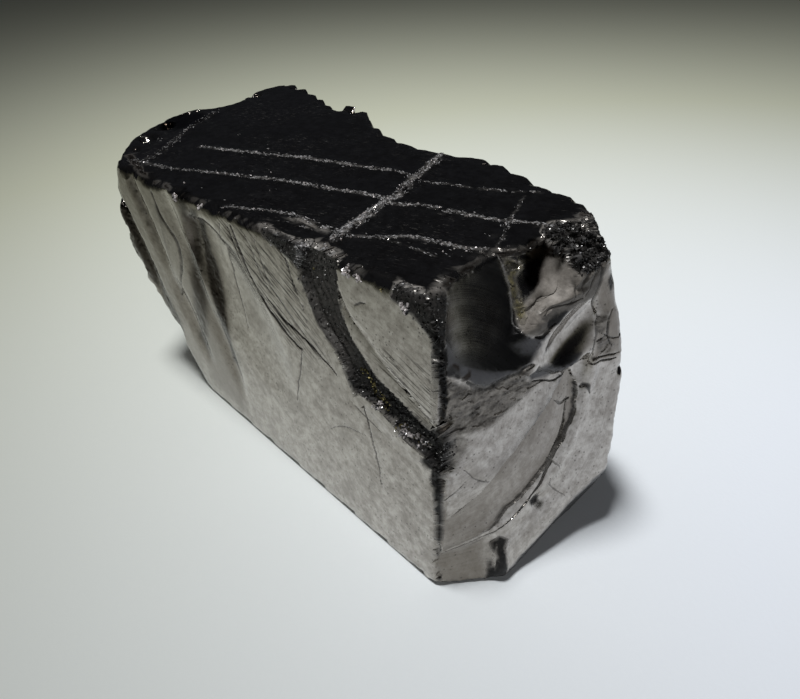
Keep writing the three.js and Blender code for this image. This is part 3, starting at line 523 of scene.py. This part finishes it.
    # Painted shade: a thin dark line along the step.
    thin = soft(to_step, 0.2, 0.08) * soft(along_step, 0.97, 0.6) * on_end[near] * ragged[near]
    show("dark", 0.9 * thin, near)
    rim = past_step * soft(to_step, 0, 0.14) * np.exp(-to_step / 4)
    rim = rim * (0.25 + 0.75 * soft(along_step, 0.8, 0.5))
    push = np.zeros(len(points))
    push[near] = (normals[near, 0] > 0.05) * (0.28 * rim + 0.35 * soft(y[near], 17, 23))
    for mid_y, mid_z, half_along, half_across, turn, height in SWELLS:
        off_y, off_z = end[near, 0] - mid_y, end[near, 1] - mid_z
        u = (off_y * math.cos(turn) + off_z * math.sin(turn)) / half_along
        v = (off_z * math.cos(turn) - off_y * math.sin(turn)) / half_across
        inside = on_end[near] * soft(np.hypot(u, v), 1.25, 0.2)
        push[near] += height * inside
        show("busy", inside, near)
    show("busy", np.maximum(soft(to_ridge, 0.6, 0.4) * ends, soft(to_step, 0.5, 0.3) * on_end[near]), near)

    # Long swells on the other breaks, and the rough back.
    ring = np.hypot(x + 30, z - 42)
    lift += on_side * 0.006 * np.sin(ring * 1.3 + 1.5 * waves(points, 6, 22))
    ring = np.hypot(x + 24, z - 46)
    swell = np.sin(ring * 1.15 + 1.2 * waves(points, 7, 23))
    lift += hidden * (0.05 * swell + 0.03 * waves(points, 2, 24, 3))

    near = np.where(on_top > 0.01)[0]
    for line, half, strength in TOP_VEINS:
        away, _ = reach(curved(line), top[near])
        half = half * (0.8 + 0.35 * waves(points[near], 3.4, 83))
        inside = soft(away, 1.3 * half, 0.3 * half) * on_top[near]
        inside = inside * (0.55 + 0.45 * soft(x[near], -60, -40))
        show("vein", strength * inside * np.clip(0.85 + 0.4 * waves(points[near], 2.3, 81), 0.4, 1), near)
        lift[near] += 0.05 * inside * fine[near]
    flecks = soft(waves(points[near], 2.2, 85, 2), 0.55, 1.1) * soft(y[near], 17, 9) * on_top[near]
    show("vein", 0.02 * flecks, near)
    move = normals * lift[:, None] + push[:, None] * np.array([1, 0, 0])
    return share, move, (on_side, on_end, on_top)


def point_normals(points, triangles):
    """Even normals at the points of a triangle mesh."""
    a, b, c = (points[triangles[:, k]] for k in range(3))
    flat = np.cross(b - a, c - a)
    total = np.zeros_like(points)
    for k in range(3):
        for axis in range(3):
            total[:, axis] += np.bincount(triangles[:, k], flat[:, axis], len(points))
    return total / np.maximum(np.linalg.norm(total, axis=1), 1e-20)[:, None]


def ease(points, triangles, rounds, free, held):
    """Runs narrow flats into one even curve and keeps sharp edges but where free; held points stay."""
    edges = np.unique(np.sort(triangles[:, [[0, 1], [1, 2], [2, 0]]].reshape(-1, 2), axis=1), axis=0)
    a, b = edges.T
    for turn in range(rounds):
        if turn % 4 == 0:
            normals = point_normals(points, triangles)
            bend = np.degrees(np.arccos(np.clip((normals[a] * normals[b]).sum(1), -1, 1)))
            pull = np.maximum(np.exp(-((bend / 5) ** 2)), free[a] * free[b]) + 0.002
            total = np.bincount(a, pull, len(points)) + np.bincount(b, pull, len(points))
        moved = np.empty_like(points)
        for axis in range(3):
            value = points[:, axis]
            pulled = np.bincount(a, pull * value[b], len(points))
            pulled += np.bincount(b, pull * value[a], len(points))
            moved[:, axis] = pulled / total
        points = points + 0.6 * (1 - held[:, None]) * (moved - points)
    return points


def halve(points, triangles, near):
    """Halves every edge whose two ends are marked, and splits the triangles round it to suit."""
    start, end = triangles, triangles[:, [1, 2, 0]]
    marked = near[start] & near[end]
    pairs = np.sort(np.stack([start[marked], end[marked]], 1), axis=1)
    edges, back = np.unique(pairs, axis=0, return_inverse=True)
    middle = np.full(triangles.shape, -1)
    middle[marked] = len(points) + back.ravel()
    points = np.vstack([points, points[edges].mean(axis=1)])
    count = marked.sum(1)
    whole = triangles[count == 0]
    v, m = triangles[count == 3], middle[count == 3]
    quarters = [np.stack(t, 1) for t in (
        (v[:, 0], m[:, 0], m[:, 2]), (m[:, 0], v[:, 1], m[:, 1]), (m[:, 2], m[:, 1], v[:, 2]),
        (m[:, 0], m[:, 1], m[:, 2]))]
    v, m, k = triangles[count == 1], middle[count == 1], marked[count == 1].argmax(1)
    row = np.arange(len(v))
    p, q, r, mid = v[row, k], v[row, (k + 1) % 3], v[row, (k + 2) % 3], m[row, k]
    halves = [np.stack(t, 1) for t in ((p, mid, r), (mid, q, r))]
    return points, np.vstack([whole, *quarters, *halves])


def arrays(mesh):
    """A mesh's points in mm from the near corner's foot, and its triangles."""
    mesh.calc_loop_triangles()
    points = np.empty(len(mesh.vertices) * 3)
    mesh.vertices.foreach_get("co", points)
    triangles = np.empty(len(mesh.loop_triangles) * 3, np.int32)
    mesh.loop_triangles.foreach_get("vertices", triangles)
    return points.reshape(-1, 3) * 1000 - CORNER, triangles.reshape(-1, 3).astype(np.int64)


def mesh_of(name, points, triangles):
    """A Blender mesh from points in mm from the near corner's foot."""
    mesh = bpy.data.meshes.new(name)
    mesh.vertices.add(len(points))
    mesh.vertices.foreach_set("co", ((points + CORNER) / 1000).astype(np.float32).ravel())
    mesh.loops.add(len(triangles) * 3)
    mesh.loops.foreach_set("vertex_index", triangles.astype(np.int32).ravel())
    mesh.polygons.add(len(triangles))
    mesh.polygons.foreach_set("loop_start", np.arange(0, len(triangles) * 3, 3, dtype=np.int32))
    mesh.update(calc_edges=True)
    mesh.validate()
    return mesh


def finished(source, name):
    """The object's mesh with its modifiers applied, under a new name."""
    mesh = bpy.data.meshes.new_from_object(source.evaluated_get(bpy.context.evaluated_depsgraph_get()))
    mesh.name = name
    return mesh


block = in_scene("block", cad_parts["shungite"].data.copy())
weld = block.modifiers.new("weld", "WELD")
weld.merge_threshold = 0.000002
remesh = block.modifiers.new("remesh", "REMESH")
remesh.mode = "VOXEL"
remesh.voxel_size = GRAIN / 1000
refined = finished(block, "refined")
block.modifiers.clear()
points, triangles = arrays(refined)

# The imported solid's step lies a little outside the stone's own. It is levelled here and cut again by STEP.
_, y, z = points.T
normals = point_normals(points, triangles)
ring = np.hypot((y - STRUCK[0]) / 1.03, z - STRUCK[1])
plateau = soft(ring, 17.9, 18.6) * np.exp(-np.maximum(ring - 18.3, 0) / 5) * soft(z, 27, 22)
facing = normals[:, 0] > 0.05
points[:, 0] -= 0.85 * plateau * facing
free = facing * soft(np.abs(ring - 18.2), 1.9, 1.3) * soft(z, 25, 22)

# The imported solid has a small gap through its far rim. Here the dent round it is raised to the top's
# level, and the edge on the stone's side is drawn out under the rim.
x, y, z = points.T
top_level = CORNER_HEIGHT + TOP_RISE * y
rim = (x < -65.8) & (np.abs(y - 14.4) < 3.6) & (z > top_level - 2) & (normals[:, 2] > -0.3)
closing = soft(x, -64.4, -66.1) * soft(np.abs(y - 15), 2.6, 1.6) * (x > -67.3) * (z > top_level - 2)
points[rim, 2] = top_level[rim]
points[:, 0] -= 2.4 * closing
points[:, 2] -= 0.04 * closing
fold = soft(np.hypot((y - 14) / 1.3, z - 34.4), 4, 3) * soft(points[:, 0], 0.4, 1)
free = np.maximum(free, facing * fold)
held = 0.75 * np.maximum(soft(y, 19, 24), soft(points[:, 0], -60, -64))
points = ease(points, triangles, 36, free, held)
points = settle(points, point_normals(points, triangles), 0)
share, _, _ = surface_of(points, point_normals(points, triangles))
points, triangles = halve(points, triangles, share["busy"] > 0.03)
points = settle(points, point_normals(points, triangles), 0.8)
normals = point_normals(points, triangles)
share, move, _ = surface_of(points, normals)
points = points + move
points[:, 2] = np.maximum(points[:, 2], 0)

rough_stone = in_scene("rough_stone", mesh_of("rough_stone", points, triangles))
fewer = rough_stone.modifiers.new("fewer", "DECIMATE")
fewer.ratio = min(1.0, MOST_TRIANGLES / len(triangles))
stone_mesh = finished(rough_stone, "shungite_stone")
bpy.data.objects.remove(rough_stone)
bpy.data.objects.remove(block)

points, triangles = arrays(stone_mesh)
share, _, (on_side, on_end, on_top) = surface_of(points, point_normals(points, triangles))
share["hatched"] = np.maximum(
    soft(within(HATCHED, points[:, [0, 2]]), -1.5, 1.5),
    0.8 * soft(within(HATCHED_LENS, points[:, [0, 2]]), -1, 1.5)) * on_side
share["on_top"] = on_top

# The way the stone's fine lines run, as mm across them and mm along them: round the place where the end
# face was struck, slanting on the side face, and with the veins on the top.
x, y, z = points.T
rings = np.stack([np.hypot(y - STRUCK[0], z - STRUCK[1]),
                  9 * np.arctan2(y - STRUCK[0], STRUCK[1] - z), 0 * x], 1)
turn = 0.57 - 0.2 * soft(x, -17, -13)
slants = np.stack([x * np.sin(turn) + z * np.cos(turn),
                   x * np.cos(turn) - z * np.sin(turn), 0 * x + 30], 1)
lengthways = np.stack([0.966 * y - 0.26 * x, 0.966 * x + 0.26 * y, 0 * x + 60], 1)
way = np.where((on_top > 0.5)[:, None], lengthways, np.where((on_end > 0.5)[:, None], rings, slants))
course = np.tile([0.966, 0.26, 0.0], (len(points), 1))
nearest = np.full(len(points), 1.2)
for line, half, _ in TOP_VEINS:
    for a, b in zip(curved(line)[:-1], curved(line)[1:]):
        away, _ = reach([a, b], points[:, :2])
        closer = away < nearest
        nearest[closer] = away[closer]
        course[closer, :2] = (b - a) / np.linalg.norm(b - a)
for name, directions in (("course", course), ("way", way)):
    stone_mesh.attributes.new(name, "FLOAT_VECTOR", "POINT").data.foreach_set(
        "vector", directions.astype(np.float32).ravel())
for name, amount in share.items():
    stone_mesh.attributes.new(name, "FLOAT", "POINT").data.foreach_set("value", amount.astype(np.float32))
stone_mesh.polygons.foreach_set("use_smooth", np.ones(len(stone_mesh.polygons), bool))
stone_mesh.set_sharp_from_angle(angle=math.radians(32))
stone = in_scene("shungite_stone", stone_mesh)


def linear(code):
    """An sRGB hex colour as Blender's linear red, green, blue and alpha."""
    parts = [int(code[k:k + 2], 16) / 255 for k in (1, 3, 5)]
    return [p / 12.92 if p <= 0.04045 else ((p + 0.055) / 1.055) ** 2.4 for p in parts] + [1.0]


def add(owner, kind, inputs=None, **settings):
    """A node of a material or a tree; inputs gives each socket a value or the socket that feeds it."""
    tree = getattr(owner, "node_tree", owner)
    node = tree.nodes.new(kind)
    for key, value in settings.items():
        setattr(node, key, value)
    for key, value in (inputs or {}).items():
        if isinstance(value, bpy.types.NodeSocket):
            tree.links.new(value, node.inputs[key])
        else:
            node.inputs[key].default_value = value
    return node


def noise_of(owner, place, scale, detail, roughness=0.5):
    """Random noise whose pattern follows the place."""
    return add(owner, "ShaderNodeTexNoise", {
        "Vector": place, "Scale": scale, "Detail": detail, "Roughness": roughness}).outputs["Fac"]


def new_material(name):
    """An empty node material."""
    material = bpy.data.materials.new(name)
    material.use_nodes = True
    material.node_tree.nodes.clear()
    return material


def coat(material, inputs):
    """Gives a material its surface."""
    surface = add(material, "ShaderNodeBsdfPrincipled", inputs).outputs[0]
    add(material, "ShaderNodeOutputMaterial", {"Surface": surface})


def share_of(material, name):
    """A share that the mesh carries."""
    return add(material, "ShaderNodeAttribute", attribute_name=name).outputs["Fac"]


def ramp_of(material, value, low, high, first=0.0, second=1.0):
    """A number or colour that runs from the first to the second while value runs from low to high."""
    if isinstance(first, str):
        node = add(material, "ShaderNodeValToRGB", {"Fac": value})
        for element, position, code in zip(node.color_ramp.elements, (low, high), (first, second)):
            element.position = position
            element.color = linear(code)
        return node.outputs["Color"]
    return add(material, "ShaderNodeMapRange", {
        "Value": value, "From Min": low, "From Max": high, "To Min": first, "To Max": second}).outputs[0]


def blend_of(owner, share, first, second):
    """A mix of two colours, or of two numbers."""
    plain = isinstance(second, (int, float)) or getattr(second, "type", "") == "VALUE"
    slot = 2 if plain else 6
    node = add(owner, "ShaderNodeMix", {0: share, slot: first, slot + 1: second},
               data_type="FLOAT" if plain else "RGBA")
    return node.outputs[0 if plain else 2]


def product_of(material, *values):
    """Several numbers multiplied."""
    total = values[0]
    for value in values[1:]:
        total = add(material, "ShaderNodeMath", {0: total, 1: value}, operation="MULTIPLY").outputs[0]
    return total


def greatest_of(material, *values):
    """The greatest of several numbers."""
    total = values[0]
    for value in values[1:]:
        total = add(material, "ShaderNodeMath", {0: total, 1: value}, operation="MAXIMUM").outputs[0]
    return total


# Elite shungite: nearly pure glassy carbon. A fresh break mirrors like dark steel with a warm tone.
# Crushed stone is sooty black, and weathered stone is dull and brownish. Some of these colours also paint
# shade into hollows, pockets, undercuts and lines under ledges, and a pale grey paints a few highlights.
glass = new_material("elite shungite, glassy carbon")
place = add(glass, "ShaderNodeTexCoord").outputs["Object"]
way_of_lines = add(glass, "ShaderNodeAttribute", attribute_name="way").outputs["Vector"]
mottle = noise_of(glass, place, 300.0, 6.0, 0.6)
dark_grain = noise_of(glass, place, 2600.0, 3.0, 0.7)
grime = noise_of(glass, place, 900.0, 5.0, 0.7)
stretched = add(glass, "ShaderNodeMapping", {"Vector": way_of_lines, "Scale": (3.6, 0.16, 1.0)}).outputs[0]
hairs = noise_of(glass, stretched, 1.0, 4.0, 0.72)
hair = ramp_of(glass, hairs, 0.51, 0.58)
stretched = add(glass, "ShaderNodeMapping", {"Vector": way_of_lines, "Scale": (6.5, 0.7, 1.0)}).outputs[0]
scratches = noise_of(glass, stretched, 1.0, 3.0, 0.75)
clouds = noise_of(glass, place, 110.0, 2.0)
cloudy = ramp_of(glass, clouds, 0.42, 0.62)
scratch = product_of(glass, ramp_of(glass, scratches, 0.6, 0.78), cloudy)
slanted = add(glass, "ShaderNodeMapping", {
    "Vector": place, "Rotation": (0.3, 0.0, 0.0), "Scale": (900.0, 300.0, 1500.0)}).outputs[0]
strata = noise_of(glass, slanted, 1.0, 4.0)
dots = add(glass, "ShaderNodeTexVoronoi", {"Vector": place, "Scale": 2100.0})
rare = add(glass, "ShaderNodeSeparateColor", {"Color": dots.outputs["Color"]}).outputs[0]
dot = product_of(glass, ramp_of(glass, dots.outputs["Distance"], 0.3, 0.15),
                 ramp_of(glass, rare, 0.6, 0.7), ramp_of(glass, clouds, 0.36, 0.56, 0.25, 1.0))

tone = blend_of(glass, ramp_of(glass, grime, 0.35, 0.65), linear("#928C85"), linear("#BFBAB3"))
worn = product_of(glass, ramp_of(glass, mottle, 0.48, 0.68), 0.6)
tone = blend_of(glass, worn, tone, linear("#8A847D"))
colour = tone
# Mixed in: a brownish colour that paints both stain and shade, a dark grey that paints shade, and a glassy
# near-black that paints shade in some places and dark crumbled edges in others.
for name, code in (("stain_and_shade", "#6E675E"), ("shade", "#3D3D3F"), ("umber", "#231D18")):
    colour = blend_of(glass, share_of(glass, name), colour, linear(code))
hatch = product_of(glass, hair, ramp_of(glass, share_of(glass, "hatched"), 0.0, 1.0, 0.12, 0.95))
colour = blend_of(glass, hatch, colour, linear("#2B2622"))
colour = blend_of(glass, product_of(glass, dot, 0.65), colour, linear("#35312E"))
layered = blend_of(glass, 0.55, grime, strata)
for name, pattern, low, high, darker, lighter in (
        ("brown", layered, 0.4, 0.6, "#2C2723", "#9A938A"),
        ("matt", grime, 0.3, 0.7, "#5A554F", "#8E8881"),
        ("gold", grime, 0.44, 0.66, "#26251C", "#857B4E"),
        ("dark", dark_grain, 0.4, 0.75, "#050506", "#262423")):
    shown = ramp_of(glass, pattern, low, high, darker, lighter)
    colour = blend_of(glass, share_of(glass, name), colour, shown)
vein_body = product_of(glass, share_of(glass, "vein"), 0.5, ramp_of(glass, grime, 0.42, 0.6))
on_the_top = product_of(glass, scratch, share_of(glass, "on_top"), 0.5)
whitish = greatest_of(glass, share_of(glass, "pale"), vein_body, on_the_top)
colour = blend_of(glass, whitish, colour, linear("#918F8D"))
dark_and_matt = greatest_of(glass, share_of(glass, "dark"), share_of(glass, "matt"))
dull = greatest_of(glass, dark_and_matt, share_of(glass, "brown"), share_of(glass, "gold"), whitish)
metal = product_of(glass, ramp_of(glass, dull, 0.0, 1.0, 1.0, 0.35),
                   ramp_of(glass, dark_and_matt, 0.0, 1.0, 1.0, 0.15))
blurred = greatest_of(glass, dull, product_of(glass, share_of(glass, "stain_and_shade"), 0.25),
                      product_of(glass, share_of(glass, "shade"), 0.42))
roughness = ramp_of(glass, blurred, 0.0, 1.0, 0.1, 0.58)
wavy = add(glass, "ShaderNodeBump", {"Height": hairs, "Strength": 0.08, "Distance": 0.0002})
flat = add(glass, "ShaderNodeBump", {
    "Height": mottle, "Strength": 0.05, "Distance": 0.0003, "Normal": wavy.outputs["Normal"]})
shine = ramp_of(glass, dull, 0.0, 1.0, 0.5, 0.2)
coat(glass, {"Base Color": colour, "Metallic": metal, "Roughness": roughness, "Specular IOR Level": shine,
             "Normal": flat.outputs["Normal"]})
stone.data.materials.clear()
stone.data.materials.append(glass)

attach(stone, "root")
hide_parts("shungite")


# ---- The grains and crystals --------------------------------------------------------------------------
# Fine angular grains that stand in the veins, the crushed joint and the crumbled edges: whitish calcite
# and quartz, pyrite, and broken shungite. Nodes scatter them by the shares that the stone's mesh carries.

scatter = bpy.data.node_groups.new("scattered grains", "GeometryNodeTree")
named = {}
for name, kind in (("Stone", "Geometry"), ("Share", "String"), ("Density", "Float"), ("Size", "Float"),
                   ("Length", "Float"), ("Braid", "Float"), ("Jitter", "Float"), ("Seed", "Int"),
                   ("Material", "Material")):
    socket = scatter.interface.new_socket(name, in_out="INPUT", socket_type="NodeSocket" + kind)
    named[name] = socket.identifier
scatter.interface.new_socket("Grains", in_out="OUTPUT", socket_type="NodeSocketGeometry")


def put(kind, inputs=None, **settings):
    """A node of the tree that scatters the grains."""
    return add(scatter, kind, inputs, **settings)


def carried(name, kind):
    """What the stone's mesh carries under a name."""
    return put("GeometryNodeInputNamedAttribute", {"Name": name}, data_type=kind).outputs["Attribute"]


given = put("NodeGroupInput").outputs
amount = carried(given["Share"], "FLOAT")
lines = carried("way", "FLOAT_VECTOR")
strands = put("ShaderNodeVectorMath", {0: lines, 1: (3.2, 0.5, 1.0)}, operation="MULTIPLY").outputs[0]
strand = noise_of(scatter, strands, 1.0, 2.0)
braided = blend_of(scatter, given["Braid"], 1.0, ramp_of(scatter, strand, 0.42, 0.58))
density = product_of(scatter, amount, given["Density"], braided)
spread = put("GeometryNodeDistributePointsOnFaces", {
    "Mesh": given["Stone"], "Density": density, "Seed": given["Seed"]})
loose = put("FunctionNodeRandomValue", {0: (-1.0, -1.0, -1.0), 1: (1.0, 1.0, 1.0), "Seed": given["Seed"]},
            data_type="FLOAT_VECTOR").outputs[0]
loose = put("ShaderNodeVectorMath", {0: loose, "Scale": given["Jitter"]}, operation="SCALE").outputs[0]
laid = put("FunctionNodeAlignRotationToVector", {"Vector": carried("course", "FLOAT_VECTOR")},
           axis="X").outputs[0]
turned = put("FunctionNodeRotateRotation", {"Rotation": laid, "Rotate By": loose},
             rotation_space="LOCAL").outputs[0]
larger = put("FunctionNodeRandomValue", {2: 0.45, 3: 1.3, "Seed": given["Seed"]},
             data_type="FLOAT").outputs[1]
width = product_of(scatter, larger, given["Size"])
length = product_of(scatter, width, given["Length"])
size = put("ShaderNodeCombineXYZ", {0: length, 1: width, 2: width}).outputs[0]
grain = put("GeometryNodeMeshCube", {"Size": (1.0, 1.0, 1.0)}).outputs["Mesh"]
placed = put("GeometryNodeInstanceOnPoints", {
    "Points": spread.outputs["Points"], "Instance": grain, "Rotation": turned, "Scale": size}).outputs[0]
real = put("GeometryNodeRealizeInstances", {"Geometry": placed}).outputs[0]
coated = put("GeometryNodeSetMaterial", {"Geometry": real, "Material": given["Material"]}).outputs[0]
put("NodeGroupOutput", {0: coated})


def grains(name, share, density, size, length, braid, jitter, seed, material):
    """Grains where the stone carries the share; density is grains per square mm, and size is in mm."""
    source = in_scene(name, stone_mesh)
    nodes = source.modifiers.new("scatter", "NODES")
    nodes.node_group = scatter
    for key, value in (("Share", share), ("Density", density * 1e6), ("Size", size / 1000),
                       ("Length", length), ("Braid", braid), ("Jitter", jitter), ("Seed", seed),
                       ("Material", material)):
        nodes[named[key]] = value
    mesh = finished(source, name)
    bpy.data.objects.remove(source)
    made = in_scene(name, mesh)
    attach(made, "root")


def crystal_material(name, code, metallic, roughness):
    """A plain mineral with small uneven tones from grain to grain."""
    material = new_material(name)
    where = add(material, "ShaderNodeTexCoord").outputs["Object"]
    patchy = noise_of(material, where, 2500.0, 1.0)
    shade = blend_of(material, ramp_of(material, patchy, 0.35, 0.65), linear("#1B1B1C"), linear(code))
    coat(material, {"Base Color": shade, "Metallic": metallic, "Roughness": roughness})
    return material


calcite = crystal_material("calcite and quartz grains", "#ABAAAA", 0.0, 0.4)
pyrite = crystal_material("pyrite grains", "#A89C6C", 1.0, 0.42)
quartz = crystal_material("clear quartz crystals", "#E6DEDC", 0.3, 0.2)
broken = crystal_material("broken glassy shungite", "#7C7A78", 1.0, 0.3)
grains("vein_needles", "vein", 85.0, 0.06, 4.6, 1.0, 0.35, 4, calcite)
grains("vein_grains", "vein", 6.0, 0.13, 1.3, 0.6, 3.1, 8, quartz)
grains("pyrite_grains", "pyrite", 26.0, 0.14, 1.5, 0.2, 3.1, 5, pyrite)
grains("joint_crystals", "crystal", 26.0, 0.25, 1.4, 0.0, 3.1, 6, quartz)
grains("edge_grit", "spark", 12.0, 0.11, 1.4, 0.0, 3.1, 7, broken)


# ---- The floor --------------------------------------------------------------------------------------
# A smooth cotton cloth laid flat, with a painted light pool: bluish white round the stone, where the lamp
# falls, and a little warmer and greyer far out. Its close weave is only a slight grain in the surface.

floor_mesh = bpy.data.meshes.new("floor")
half = 2.5
corners = [(-half, -half, 0), (half, -half, 0), (half, half, 0), (-half, half, 0)]
floor_mesh.from_pydata(corners, [], [(0, 1, 2, 3)])
floor = in_scene("floor", floor_mesh)
cloth = new_material("white cotton cloth")
spot = add(cloth, "ShaderNodeTexCoord").outputs["Object"]
away = add(cloth, "ShaderNodeVectorMath", {0: spot, 1: (0.12, 0.045, 0)},
           operation="DISTANCE").outputs["Value"]
# Painted light: the lamp's cool pool round the stone, warmer and greyer far out.
painted_pool_tint = blend_of(cloth, ramp_of(cloth, away, 0.07, 0.27), linear("#E6EAF0"), linear("#E6E8D0"))
weave = noise_of(cloth, spot, 1600.0, 2.0)
threads = add(cloth, "ShaderNodeBump", {"Height": weave, "Strength": 0.12, "Distance": 0.0002})
coat(cloth, {"Base Color": painted_pool_tint, "Roughness": 0.95, "Normal": threads.outputs["Normal"]})
floor_mesh.materials.append(cloth)


# ---- The light --------------------------------------------------------------------------------------
# One small lamp high up behind the stone's left, a faint wide fill from the camera's side and a dark room.


def aimed(light, place, target):
    """Puts a light at a place, looking at a target, both in mm from the near corner's foot."""
    source = in_scene(light.name, light)
    source.location = (np.array(place) + CORNER) / 1000
    way = np.array(target) - np.array(place)
    source.rotation_euler = (math.atan2(np.hypot(way[0], way[1]), -way[2]), 0, math.atan2(-way[0], way[1]))


lamp = bpy.data.lights.new("lamp", "SPOT")
lamp.energy = 5.2
lamp.color = (0.97, 0.985, 1.0)
lamp.shadow_soft_size = 0.03
lamp.spot_size = math.radians(172)
lamp.spot_blend = 1.0
aimed(lamp, (-36, -36, 300), (46.8, 526.8, 0))

fill = bpy.data.lights.new("fill", "AREA")
fill.shape = "DISK"
fill.size = 0.4
fill.energy = 2.0
aimed(fill, (900, -600, 1200), (0, 100, 0))

room = bpy.data.worlds.new("dark room")
room.use_nodes = True
room.node_tree.nodes["Background"].inputs["Color"].default_value = (0.014, 0.015, 0.018, 1)
room.node_tree.nodes["Background"].inputs["Strength"].default_value = 1.0
bpy.context.scene.world = room
bpy.context.scene.view_settings.view_transform = "Standard"
